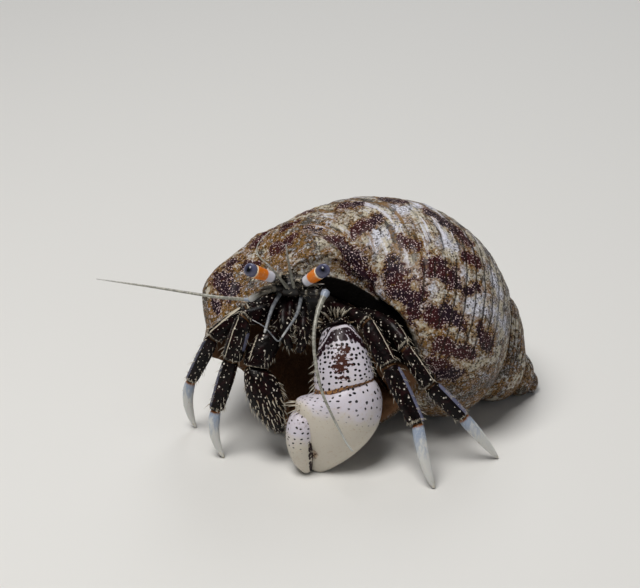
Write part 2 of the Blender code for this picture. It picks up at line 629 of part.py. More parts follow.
def build_small_claw(collection):
    """The small right claw: merus, wrist, palm and finger, nearly black."""
    root, elbow, wrist = (-4.6, -14.6, 19.4), (-6.2, -18.3, 18.5), (-9.4, -20.8, 14.4)
    knuckle, tip = (-8.2, -22.2, 9.8), (-5.7, -23.2, 5.1)
    elbow_plane = joint_plane(root, elbow, wrist)
    wrist_plane = joint_plane(elbow, wrist, knuckle)
    mesh = limb("claw_right_merus", root, midpoint(root, elbow), elbow,
                ((0.0, 2.6), (0.5, 3.0), (1.0, 2.8)), 0.9, 14, None, elbow_plane)
    add_object("claw_right_merus", mesh, DARK_FINISH, collection)
    mesh = limb("claw_right_carpus", elbow, midpoint(elbow, wrist, (-0.5, -0.2, 0.2)), wrist,
                ((0.0, 2.8), (0.2, 3.6), (0.6, 4.0), (0.9, 3.6), (1.0, 3.0)), 0.9, 14,
                elbow_plane, wrist_plane)
    add_object("claw_right_carpus", mesh, DARK_FINISH, collection)
    mesh = limb("claw_right_palm", wrist, midpoint(wrist, tip, (-0.1, -0.4, 0.0)), tip,
                ((0.0, 3.2), (0.15, 4.4), (0.4, 5.0), (0.65, 4.2), (0.85, 2.6), (1.0, 1.2)), 0.8, 16,
                wrist_plane, None)
    add_object("claw_right_palm", mesh, DARK_FINISH, collection)
    root, finger_tip = (-7.2, -22.9, 10.4), (-5.3, -23.6, 5.4)
    mesh = limb("claw_right_finger", root, midpoint(root, finger_tip), finger_tip,
                ((0.0, 1.2), (0.3, 1.8), (0.7, 1.5), (1.0, 0.6)), 1.2, 12)
    add_object("claw_right_finger", mesh, DARK_FINISH, collection)


def part_neighbours(collection):
    """Cuts the first piece of each pair of neighbours clear of the second."""
    on_thorax = tuple((name, "thorax") for name in ON_THORAX)
    on_head = tuple((name, "head") for name in ON_HEAD)
    for name, other in NEIGHBOURS + on_thorax + on_head + ON_BODY:
        cut_clear(collection.objects[name], collection.objects[other])


def surface_tree(item):
    """The search tree of an object's faces."""
    places = [vert.co for vert in item.data.vertices]
    return BVHTree.FromPolygons(places, [face.vertices[:] for face in item.data.polygons])


def bristle_root(line, share, facing, tree):
    """The place of a bristle on a segment's surface, with the normal there and the way to the tip."""
    centre = curve_point(*line, share)
    along = (curve_point(*line, share + 0.02) - curve_point(*line, share - 0.02)).normalized()
    outward = (facing - along * facing.dot(along)).normalized()
    place, normal, *_ = tree.ray_cast(centre, outward)
    return place, normal, along


def segment_distance(first, second):
    """The least distance between two bristles, sampled along both."""
    steps = (0.0, 0.25, 0.5, 0.75, 1.0)
    here = [first[0].lerp(first[1], step) for step in steps]
    there = [second[0].lerp(second[1], step) for step in steps]
    return min((near - far).length for near in here for far in there)


def is_clear(root, tip, name, trees, placed):
    """Whether a bristle keeps off the floor, the other nodes and the bristles set so far."""
    sunk = -mm(BRISTLE_SINK) / (tip - root).length
    for share in (sunk, sunk / 2, 0.0, 0.3, 0.55, 0.8, 1.0):
        point = root.lerp(tip, share)
        room = mm(GAP + 0.05 + BRISTLE_WIDTH / 2 * (1 - share))
        if point.z < room:
            return False
        for other, tree in trees.items():
            if other != name and tree.find_nearest(point, room)[0] is not None:
                return False
    for other, spike in placed:
        if (root - spike[0]).length > mm(5.0):
            continue
        if other == name and (root - spike[0]).length < mm(BRISTLE_SPACE):
            return False
        if other != name and segment_distance((root, tip), spike) < mm(GAP + BRISTLE_WIDTH):
            return False
    return True


def add_bristle(root, tip, surface, collection):
    """A pointed spike of four sides with its root sunk in the surface."""
    way = (tip - root).normalized()
    mesh = bpy.data.meshes.new("bristle")
    bm = bmesh.new()
    depth = (tip - root).length + mm(BRISTLE_SINK)
    widen = 1.0 + mm(BRISTLE_SINK) / (tip - root).length
    bmesh.ops.create_cone(bm, segments=4, radius1=mm(BRISTLE_WIDTH / 2) * widen, radius2=0.0, depth=depth,
                          cap_ends=True)
    bmesh.ops.rotate(bm, verts=bm.verts, matrix=way.to_track_quat("Z", "Y").to_matrix())
    bmesh.ops.translate(bm, verts=bm.verts, vec=tip - way * (depth / 2))
    bmesh.ops.remove_doubles(bm, verts=bm.verts, dist=1e-7)
    bm.to_mesh(mesh)
    bm.free()
    mesh.materials.append(surface)
    collection.objects.link(bpy.data.objects.new("bristle", mesh))


def grow_bristles(collection):
    """Sets the rows of bristles on each segment that has a coat, clear of all the other nodes."""
    draw = random.Random(SEED)
    trees = {item.name: surface_tree(item) for item in collection.objects}
    coats = dict(COATS)
    for leg in LEGS:
        coats.update({f"{leg.name}_{segment}": LEG_COATS[segment] for segment in SEGMENT_NAMES})
    placed = []
    for name, coat in coats.items():
        item = collection.objects[name]
        side = -1.0 if "right" in name else 1.0
        spikes = new_collection("spikes")
        for facing, count, first, last in coat.rows:
            for i in range(count):
                share = first + (last - first) * (i + draw.uniform(-0.2, 0.2)) / max(count - 1, 1)
                swerve = [draw.uniform(-0.25, 0.25) for _ in range(3)]
                away = Vector((facing[0] * side, facing[1], facing[2])) + Vector(swerve)
                place, normal, along = bristle_root(CENTRE_LINES[name], share, away, trees[name])
                length = mm(coat.length) * draw.uniform(0.8, 1.2)
                if place is None:
                    continue
                for lean, scale in LEANS:
                    turn = math.radians(coat.lean + lean)
                    tip = place + (normal * math.cos(turn) + along * math.sin(turn)) * length * scale
                    if is_clear(place, tip, name, trees, placed):
                        placed.append((name, (place, tip)))
                        add_bristle(place, tip, item.data.materials[0], spikes)
                        break
        if spikes.objects:
            boolean(item, spikes, "UNION")
        for spike in list(spikes.objects):
            bpy.data.objects.remove(spike)
        bpy.data.collections.remove(spikes)


def centre_on_floor(collection):
    """Moves the whole model so that the middle of its box is over the origin."""
    places = [vert.co for item in collection.objects for vert in item.data.vertices]
    low = [min(place[i] for place in places) for i in range(2)]
    high = [max(place[i] for place in places) for i in range(2)]
    shift = Vector(((low[0] + high[0]) / 2, (low[1] + high[1]) / 2, 0.0))
    for item in collection.objects:
        for vert in item.data.vertices:
            vert.co -= shift


def main():
    """Builds the crab and its shell."""
    clear_scene()
    crab = new_collection("hermit crab")
    build_shell(crab)
    build_body(crab)
    build_eyes(crab)
    build_feelers(crab)
    build_mouth(crab)
    for leg in LEGS:
        build_leg(leg, crab)
    build_big_claw(crab)
    build_small_claw(crab)
    part_neighbours(crab)
    grow_bristles(crab)
    centre_on_floor(crab)


if __name__ == "__main__":
    main()
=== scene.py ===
"""The looks of a life-size hermit crab in a turban shell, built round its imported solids.

Places are written in millimetres in the maker's own frame and turned into metres by at(). "left" and
"right" are the crab's own, so its right side is at -X. Every limb is a ring that is extruded along a
bent line, and the shell is one ring that is turned and shrunk about its apex again and again.
"""

import logging
import math
from collections.abc import Iterable, Sequence
from dataclasses import dataclass
from enum import Enum

import bmesh
import bpy
import numpy as np
from mathutils import Matrix, Vector, noise


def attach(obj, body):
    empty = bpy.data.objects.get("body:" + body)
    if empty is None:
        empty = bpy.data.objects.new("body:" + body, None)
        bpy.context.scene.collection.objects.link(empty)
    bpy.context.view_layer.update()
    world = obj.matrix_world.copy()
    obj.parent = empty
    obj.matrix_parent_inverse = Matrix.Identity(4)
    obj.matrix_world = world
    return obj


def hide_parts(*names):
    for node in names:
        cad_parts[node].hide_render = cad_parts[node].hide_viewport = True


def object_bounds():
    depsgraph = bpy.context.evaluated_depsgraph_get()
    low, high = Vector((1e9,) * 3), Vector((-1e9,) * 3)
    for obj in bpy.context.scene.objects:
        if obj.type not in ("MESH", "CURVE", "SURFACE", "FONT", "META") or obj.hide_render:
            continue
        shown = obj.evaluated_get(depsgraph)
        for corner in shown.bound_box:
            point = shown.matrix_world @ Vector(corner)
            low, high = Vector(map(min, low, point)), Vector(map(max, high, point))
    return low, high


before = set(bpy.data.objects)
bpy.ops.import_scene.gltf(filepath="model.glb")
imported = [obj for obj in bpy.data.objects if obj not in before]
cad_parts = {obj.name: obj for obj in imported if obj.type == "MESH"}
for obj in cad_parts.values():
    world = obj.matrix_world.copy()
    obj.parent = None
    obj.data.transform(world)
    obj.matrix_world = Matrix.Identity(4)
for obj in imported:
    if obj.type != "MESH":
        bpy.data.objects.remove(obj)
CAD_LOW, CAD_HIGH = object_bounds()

LOG = logging.getLogger("hermit_crab")
MM = 0.001
ORIGIN_SHIFT = Vector((0.704, -11.556, 0.0))
FACING = Vector((0.0, -1.0, 0.0))
# How far surfaces stay inside the solids' box, and the lowest place of a tip, in metres
MARGIN = 1e-6
FLOOR = 2e-6
SEED = 11
CURVE_STEPS = 12

Item = bpy.types.Object
Material = bpy.types.Material
Point = tuple[float, float, float]
Profile = Sequence[tuple[float, float]]
Rings = Sequence["Station"]
Wires = "Wire | float | tuple[float, ...]"


def at(point: Iterable[float]) -> Vector:
    """Turns a place in millimetres into metres from the model's origin.

    Args:
        point: The place, in millimetres.

    Returns:
        The place in metres.
    """
    return (Vector(point) - ORIGIN_SHIFT) * MM


def tone(red: int, green: int, blue: int) -> tuple[float, float, float, float]:
    """Turns a screen colour into the linear one that a shader takes.

    Args:
        red: The red, 0 to 255.
        green: The green, 0 to 255.
        blue: The blue, 0 to 255.

    Returns:
        The linear colour with full alpha.
    """
    parts = [value / 255 for value in (red, green, blue)]
    linear = [part / 12.92 if part <= 0.04045 else ((part + 0.055) / 1.055) ** 2.4 for part in parts]
    return (linear[0], linear[1], linear[2], 1.0)


def ease(values: np.ndarray, low: float, high: float) -> np.ndarray:
    """A smooth step of an array of values.

    Args:
        values: The values.
        low: Where the step starts.
        high: Where it ends, which may be below its start.

    Returns:
        0 before the start, 1 past the end and a smooth change between them.
    """
    share = np.clip((values - low) / (high - low), 0.0, 1.0)
    return share * share * (3 - 2 * share)


# Slots


class Slot(Enum):
    """The record's material slots."""

    SHELL = "shell"
    FLESH = "soft_body"
    STALK = "eyestalk"
    CORNEA = "cornea"
    FEELER = "feeler"
    TIP = "pale_tip"
    IVORY = "big_claw"
    DARK = "dark_cuticle"


# Shader maths


class Wire:
    """A node's output whose Python operators add Math nodes."""

    def __init__(self, paint: "Paint", socket: bpy.types.NodeSocket) -> None:
        """Keeps the socket and the material that it belongs to."""
        self.paint = paint
        self.socket = socket

    def _maths(self, operation: str, *values: "Wires") -> "Wire":
        """One Math node of the given operation on the values, in order."""
        inputs = dict(enumerate(values))
        return self.paint.add("ShaderNodeMath", {"operation": operation}, inputs)

    def __add__(self, other: "Wires") -> "Wire":
        """This plus the other."""
        return self._maths("ADD", self, other)

    def __sub__(self, other: "Wires") -> "Wire":
        """This less the other."""
        return self._maths("SUBTRACT", self, other)

    def __mul__(self, other: "Wires") -> "Wire":
        """This times the other."""
        return self._maths("MULTIPLY", self, other)

    def __rsub__(self, other: "Wires") -> "Wire":
        """The other less this."""
        return self._maths("SUBTRACT", other, self)

    __radd__ = __add__
    __rmul__ = __mul__

    def sine(self) -> "Wire":
        """The sine of this."""
        return self._maths("SINE", self)

    def larger(self, other: "Wires") -> "Wire":
        """The larger of this and the other."""
        return self._maths("MAXIMUM", self, other)

    def frayed(self, noise: "Wire", reach: float) -> "Wire":
        """This, frayed as far as the reach by a noise of about 0.5."""
        return self + (noise - 0.5) * reach

    def step(self, low: float, high: float) -> "Wire":
        """A smooth step from 0 at the low value to 1 at the high one."""
        settings = {"interpolation_type": "SMOOTHSTEP"}
        return self.paint.add("ShaderNodeMapRange", settings, {"Value": self, 1: low, 2: high})


class Paint:
    """A material in the making."""

    def __init__(self, name: str) -> None:
        """Starts an empty material of that name."""
        self.material = bpy.data.materials.new(name)
        self.material.use_nodes = True
        self.tree = self.material.node_tree
        self.tree.nodes.clear()
        self.places = self.add("ShaderNodeTexCoord", output="Object")

    def add(self, kind: str, settings: dict | None = None, inputs: dict | None = None,
            output: int | str = 0) -> Wire:
        """Adds any node.

        Args:
            kind: The node's type.
            settings: Its own settings.
            inputs: The values or wires of its sockets, by name or number.
            output: The output that is handed back.

        Returns:
            That output as a wire.
        """
        node = self.tree.nodes.new(kind)
        for key, value in (settings or {}).items():
            setattr(node, key, value)
        for key, value in (inputs or {}).items():
            if isinstance(value, Wire):
                self.tree.links.new(value.socket, node.inputs[key])
            else:
                node.inputs[key].default_value = value
        return Wire(self, node.outputs[output] if len(node.outputs) else None)

    def painted(self, name: str) -> Wire:
        """The value of a painted attribute."""
        return self.add("ShaderNodeAttribute", {"attribute_name": name}, output="Fac")

    def noise(self, scale: float, detail: float = 4.0, rough: float = 0.55,
              places: Wire | None = None) -> Wire:
        """Cloudy noise, about 0.5 on the whole."""
        inputs = {"Vector": places or self.places, "Scale": scale, "Detail": detail, "Roughness": rough}
        return self.add("ShaderNodeTexNoise", {}, inputs)

    def cells(self, scale: float, randomness: float = 1.0, places: Wire | None = None,
              flat: bool = False) -> Wire:
        """The distance to the nearest of many scattered points."""
        inputs = {"Vector": places or self.places, "Scale": scale, "Randomness": randomness}
        return self.add("ShaderNodeTexVoronoi", {"voronoi_dimensions": "2D" if flat else "3D"}, inputs)

    def stretched(self, scale: Point, turn: Point = (0.0, 0.0, 0.0), places: Wire | None = None) -> Wire:
        """The places of a pattern, stretched and turned."""
        inputs = {"Vector": places or self.places, "Scale": scale, "Rotation": turn}
        return self.add("ShaderNodeMapping", {}, inputs)

    def blend(self, share: "Wires", under: "Wires", over: "Wires") -> Wire:
        """Lays one colour over another by a share."""
        return self.add("ShaderNodeMix", {"data_type": "RGBA"}, {0: share, 6: under, 7: over}, output=2)

    def bump(self, height: Wire, depth: float, strength: float = 1.0) -> Wire:
        """Fine relief from a height, with its depth in metres."""
        return self.add("ShaderNodeBump", {}, {"Height": height, "Distance": depth, "Strength": strength})

    def close(self, colour: "Wires", rough: "Wires", normal: Wire | None = None,
              **constants: float | tuple) -> Material:
        """Ends the material in a Principled shader.

        Args:
            colour: The base colour.
            rough: The roughness.
            normal: The relief, if any.
            **constants: Values of the shader's other sockets, with _ for a space.

        Returns:
            The finished material.
        """
        inputs = {"Base Color": colour, "Roughness": rough}
        if normal is not None:
            inputs["Normal"] = normal
        inputs.update({key.replace("_", " "): value for key, value in constants.items()})
        shader = self.add("ShaderNodeBsdfPrincipled", {}, inputs)
        self.add("ShaderNodeOutputMaterial", {}, {"Surface": shader})
        return self.material


# Modelling


@dataclass(frozen=True)
class Station:
    """One ring of a limb, in metres: its middle, the way it faces, its size and its place on the limb."""

    centre: Vector
    normal: Vector
    width: float
    depth: float
    along: float
    facing: Vector | None = None

    def axes(self) -> tuple[Vector, Vector, Vector]:
        """The ring's own directions: across as seen from the front, under, and along the limb."""
        across = self.normal.cross(FACING if self.facing is None else self.facing).normalized()
        return across, self.normal.cross(across).normalized(), self.normal


class Bench:
    """Modelling steps in Blender's own operators."""

    @staticmethod
    def clear() -> None:
        """Leaves edit mode and deselects everything."""
        if bpy.context.object and bpy.context.object.mode != "OBJECT":
            bpy.ops.object.mode_set(mode="OBJECT")
        bpy.ops.object.select_all(action="DESELECT")

    @staticmethod
    def pick(item: Item) -> None:
        """Selects one object alone and makes it the active one."""
        Bench.clear()
        item.select_set(True)
        bpy.context.view_layer.objects.active = item

    @staticmethod
    def new(name: str, data: bpy.types.ID) -> Item:
        """Puts a new object with that data in the scene."""
        item = bpy.data.objects.new(name, data)
        bpy.context.scene.collection.objects.link(item)
        return item

    @staticmethod
    def disc(name: str, sides: int) -> Item:
        """A filled disc of radius 1 at the origin, in edit mode with all of it selected."""
        Bench.clear()
        bpy.ops.mesh.primitive_circle_add(vertices=sides, radius=1.0, fill_type="NGON")
        item = bpy.context.object
        item.name = name
        item.data.name = name
        bpy.ops.object.mode_set(mode="EDIT")
        bpy.ops.mesh.select_all(action="SELECT")
        return item

    @staticmethod
    def turn(axis: Vector, angle: float, centre: Vector) -> None:
        """Turns what is selected about an axis through a point."""
        ahead = axis.normalized()
        side = ahead.orthogonal().normalized()
        bpy.ops.transform.rotate(value=angle, orient_axis="Z", orient_type="GLOBAL",
                                 orient_matrix=(side, ahead.cross(side), ahead), orient_matrix_type="GLOBAL",
                                 constraint_axis=(False, False, True), center_override=centre)

    @staticmethod
    def resize(factors: Sequence[float], axes: Sequence[Vector], centre: Vector) -> None:
        """Resizes what is selected along three directions, about a point."""
        bpy.ops.transform.resize(value=factors, orient_type="GLOBAL", orient_matrix=axes,
                                 orient_matrix_type="GLOBAL", center_override=centre)

    @staticmethod
    def sweep(name: str, stations: Rings, sides: int, levels: int = 2) -> Item:
        """Extrudes a disc through a row of stations, closes both ends and smooths the surface.

        Args:
            name: The new object's name.
            stations: The rings, in order.
            sides: How many corners a ring has.
            levels: How many times the surface is subdivided.

        Returns:
            The object, painted with "along" and with "across" and "under", the ring's own directions.
        """
        item = Bench.disc(name, sides)
        round_off = (2 + math.cos(2 * math.pi / sides)) / 3
        place, size = Vector(), (2.0 * round_off, 2.0 * round_off)
        axes = (Vector((1, 0, 0)), Vector((0, 1, 0)), Vector((0, 0, 1)))
        for number, station in enumerate(stations):
            move = station.centre - place
            if number:
                bpy.ops.mesh.extrude_region_move(TRANSFORM_OT_translate={"value": move})
            else:
                bpy.ops.transform.translate(value=move)
            place, aim = station.centre, station.axes()
            change = Matrix(aim).transposed() @ Matrix(axes)
            axis, angle = change.to_quaternion().to_axis_angle()
            if abs(angle) > 1e-6:
                Bench.turn(axis, angle, place)
            axes = aim
            Bench.resize((station.width / size[0], station.depth / size[1], 1.0), axes, place)
            size = (station.width, station.depth)
        bpy.ops.mesh.select_all(action="SELECT")
        bpy.ops.mesh.normals_make_consistent(inside=False)
        Bench.clear()
        Bench.relist(item)
        Skin.paint_rings(item, len(stations), sides)
        Skin.paint(item, along=np.repeat([station.along for station in stations], sides))
        return Bench.smooth(item, levels)

    @staticmethod
    def relist(item: Item) -> None:
        """Lists an object's faces by their corners, as extruding leaves them in a new order each run."""
        faces = []
        for face in item.data.polygons:
            corners = list(face.vertices)
            first = corners.index(min(corners))
            faces.append(tuple(corners[first:] + corners[:first]))
        places = [vert.co.copy() for vert in item.data.vertices]
        item.data.clear_geometry()
        item.data.from_pydata(places, [], sorted(faces))
        item.data.update()

    @staticmethod
    def finish(item: Item, kind: str, **settings: object) -> None:
        """Adds a modifier with its settings and applies it."""
        Bench.pick(item)
        step = item.modifiers.new(kind.title(), kind)
        for key, value in settings.items():
            setattr(step, key, value)
        bpy.ops.object.modifier_apply(modifier=step.name)

    @staticmethod
    def smooth(item: Item, levels: int = 2) -> Item:
        """Subdivides an object into a smooth surface and shades it so."""
        if levels:
            Bench.finish(item, "SUBSURF", levels=levels, render_levels=levels)
        Bench.pick(item)
        bpy.ops.object.shade_smooth()
        return item

    @staticmethod
    def join(name: str, items: Sequence[Item]) -> Item:
        """Joins objects into the first of them, under a name."""
        Bench.pick(items[0])
        for item in items[1:]:
            item.select_set(True)
        bpy.ops.object.join()
        items[0].name = name
        return items[0]


class Skin:
    """Reads and changes the points of a finished surface all at once."""

    @staticmethod
    def points(item: Item, value: str = "co") -> np.ndarray:
        """The places of the points, in metres, or another value of three parts that they hold."""
        flat = np.empty(len(item.data.vertices) * 3, np.float32)
        item.data.vertices.foreach_get(value, flat)
        return flat.reshape(-1, 3).astype(float)

    @staticmethod
    def normals(item: Item) -> np.ndarray:
        """The ways the surface faces at the points."""
        return Skin.points(item, "normal")

    @staticmethod
    def facing(item: Item, way: Point) -> np.ndarray:
        """How squarely the surface faces a way at each point, from -1 to 1."""
        return Skin.normals(item) @ np.array(Vector(way).normalized())

    @staticmethod
    def around(item: Item) -> np.ndarray:
        """The angle of each point round its ring."""
        return np.arctan2(Skin.read(item, "under"), Skin.read(item, "across"))

    @staticmethod
    def away(places: np.ndarray, point: Point) -> np.ndarray:
        """How far places in metres lie from a point in millimetres, in millimetres."""
        return np.linalg.norm(places - np.array(at(point)), axis=1) / MM

    @staticmethod
    def numbers(parts: bpy.types.bpy_prop_collection, value: str) -> np.ndarray:
        """One whole number of each corner or face, such as the point that a corner stands on."""
        values = np.empty(len(parts), np.int32)
        parts.foreach_get(value, values)
        return values

    @staticmethod
    def chart(item: Item, name: str, places: np.ndarray) -> None:
        """Lays a map on an object, with a place for each corner of its faces."""
        item.data.uv_layers.new(name=name).data.foreach_set("uv", places.astype(np.float32).ravel())

    @staticmethod
    def place(item: Item, points: np.ndarray) -> None:
        """Moves the points to new places, inside the solids' own box."""
        kept = np.clip(points, np.array(CAD_LOW) + MARGIN, np.array(CAD_HIGH) - MARGIN)
        item.data.vertices.foreach_set("co", kept.astype(np.float32).ravel())
        item.data.update()

    @staticmethod
    def stand(item: Item) -> None:
        """Keeps a piece on the floor."""
        places = Skin.points(item)
        places[:, 2] = np.maximum(places[:, 2], FLOOR)
        Skin.place(item, places)

    @staticmethod
    def swell(item: Item, heights: np.ndarray) -> None:
        """Raises the surface along its normals by heights in millimetres."""
        Skin.place(item, Skin.points(item) + Skin.normals(item) * (heights * MM)[:, None])

    @staticmethod
    def read(item: Item, name: str) -> np.ndarray:
        """The painted values of an attribute."""
        values = np.empty(len(item.data.vertices), np.float32)
        item.data.attributes[name].data.foreach_get("value", values)
        return values.astype(float)

    @staticmethod
    def paint(item: Item, **layers: np.ndarray | float) -> None:
        """Paints named layers on the points: one value for each of them, or the same one on all."""
        for name, values in layers.items():
            layer = item.data.attributes.get(name) or item.data.attributes.new(name, "FLOAT", "POINT")
            layer.data.foreach_set("value", np.full(len(item.data.vertices), values, np.float32))

    @staticmethod
    def paint_rings(item: Item, rings: int, sides: int) -> None:
        """Paints each ring's own directions, "across" and "under"."""
        spin = 2 * math.pi * np.arange(sides) / sides
        Skin.paint(item, across=np.tile(np.cos(spin), rings), under=np.tile(np.sin(spin), rings))

    @staticmethod
    def cloud(points: np.ndarray, grain: float, octaves: int = 3) -> np.ndarray:
        """Smooth noise at points in metres, about -1 to 1, with a grain in millimetres."""
        scale = 1 / (grain * MM)
        return np.array([noise.fractal(Vector(p) * scale, 0.8, 2.1, octaves) for p in points])


@dataclass
class Span:
    """A stretch of a limb between two joints, along a gently bent line, with places in millimetres."""

    start: Point
    middle: Point
    end: Point
    profile: Profile
    depth: float = 0.85
    first: Vector | None = None
    last: Vector | None = None
    turn_share: float = 0.25

    def spot(self, share: float) -> Vector:
        """The place at a share of the length, in metres."""
        start, middle, end = at(self.start), at(self.middle), at(self.end)
        pull = 2 * middle - (start + end) / 2
        return start * (1 - share) ** 2 + pull * 2 * share * (1 - share) + end * share ** 2

    def stations(self, offset: float = 0.0) -> Rings:
        """The rings of the stretch, whose place on the limb starts at the offset."""
        rings = []
        for share, width in self.profile:
            along = (self.spot(share + 0.01) - self.spot(share - 0.01)).normalized()
            normal = along.copy()
            if self.first is not None:
                normal += (self.first - along) * max(0.0, 1 - share / self.turn_share)
            if self.last is not None:
                normal += (self.last - along) * max(0.0, 1 - (1 - share) / self.turn_share)
            size, aim = width * MM, normal.normalized()
            rings.append(Station(self.spot(share), aim, size, size * self.depth, offset + share))
        return rings


def middle_of(first: Point, second: Point, bow: Point = (0.0, 0.0, 0.0)) -> Point:
    """The place half way between two, moved by the bow."""
    x, y, z = ((a + b) / 2 + c for a, b, c in zip(first, second, bow))
    return x, y, z


def joint_plane(before: Point, joint: Point, after: Point) -> Vector:
    """The direction that halves the bend at a joint."""
    first = (Vector(joint) - Vector(before)).normalized()
    second = (Vector(after) - Vector(joint)).normalized()
    return (first + second).normalized()


def scaled(profile: Profile, width: float) -> list[tuple[float, float]]:
    """A profile of factors as one of widths."""
    return [(share, factor * width) for share, factor in profile]


def between(goal: float, keys: Sequence[float], rows: np.ndarray) -> Vector:
    """The place or direction that a table gives for a goal between its keys."""
    return Vector(np.array([np.interp(goal, keys, rows[:, k]) for k in range(3)]))


def smooth_route(points: Sequence[Point], count: int) -> list[Vector]:
    """Places spread evenly on a smooth curve.

    Args:
        points: The places that the curve passes through, in millimetres.
        count: How many places are wanted.

    Returns:
        The places, in metres.
    """
    knots = [at(point) for point in points]
    knots = [2 * knots[0] - knots[1], *knots, 2 * knots[-1] - knots[-2]]
    dense = []
    for a, b, c, d in zip(knots, knots[1:], knots[2:], knots[3:]):
        for t in (i / CURVE_STEPS for i in range(CURVE_STEPS)):
            dense.append(0.5 * (2 * b + (c - a) * t + (2 * a - 5 * b + 4 * c - d) * t ** 2
                                + (3 * b - a - 3 * c + d) * t ** 3))
    dense.append(knots[-2])
    line = np.array(dense)
    travel = np.concatenate(([0.0], np.cumsum(np.linalg.norm(np.diff(line, axis=0), axis=1))))
    goals = np.linspace(0.0, travel[-1], count)
    return [between(goal, travel, line) for goal in goals]


def route_stations(points: Sequence[Point], widths: Profile, count: int, ringed: float) -> Rings:
    """The rings of a feeler along a smooth route.

    Args:
        points: The places that it passes through, in millimetres.
        widths: Its width in millimetres at shares of its length.
        count: How many rings it has.
        ringed: How much every second ring is narrower.

    Returns:
        The stations from root to tip.
    """
    line = smooth_route(points, count)
    shares = np.linspace(0.0, 1.0, count)
    sizes = np.interp(shares, [share for share, _ in widths], [width for _, width in widths]) * MM
    rings = []
    for i, place in enumerate(line):
        ahead = (line[min(i + 1, count - 1)] - line[max(i - 1, 0)]).normalized()
        size = sizes[i] * (1 - ringed * (i % 2))
        rings.append(Station(place, ahead, size, size, float(shares[i])))
    return rings


# Finishes

SHEEN = (0.002, 0.0015, 0.001)

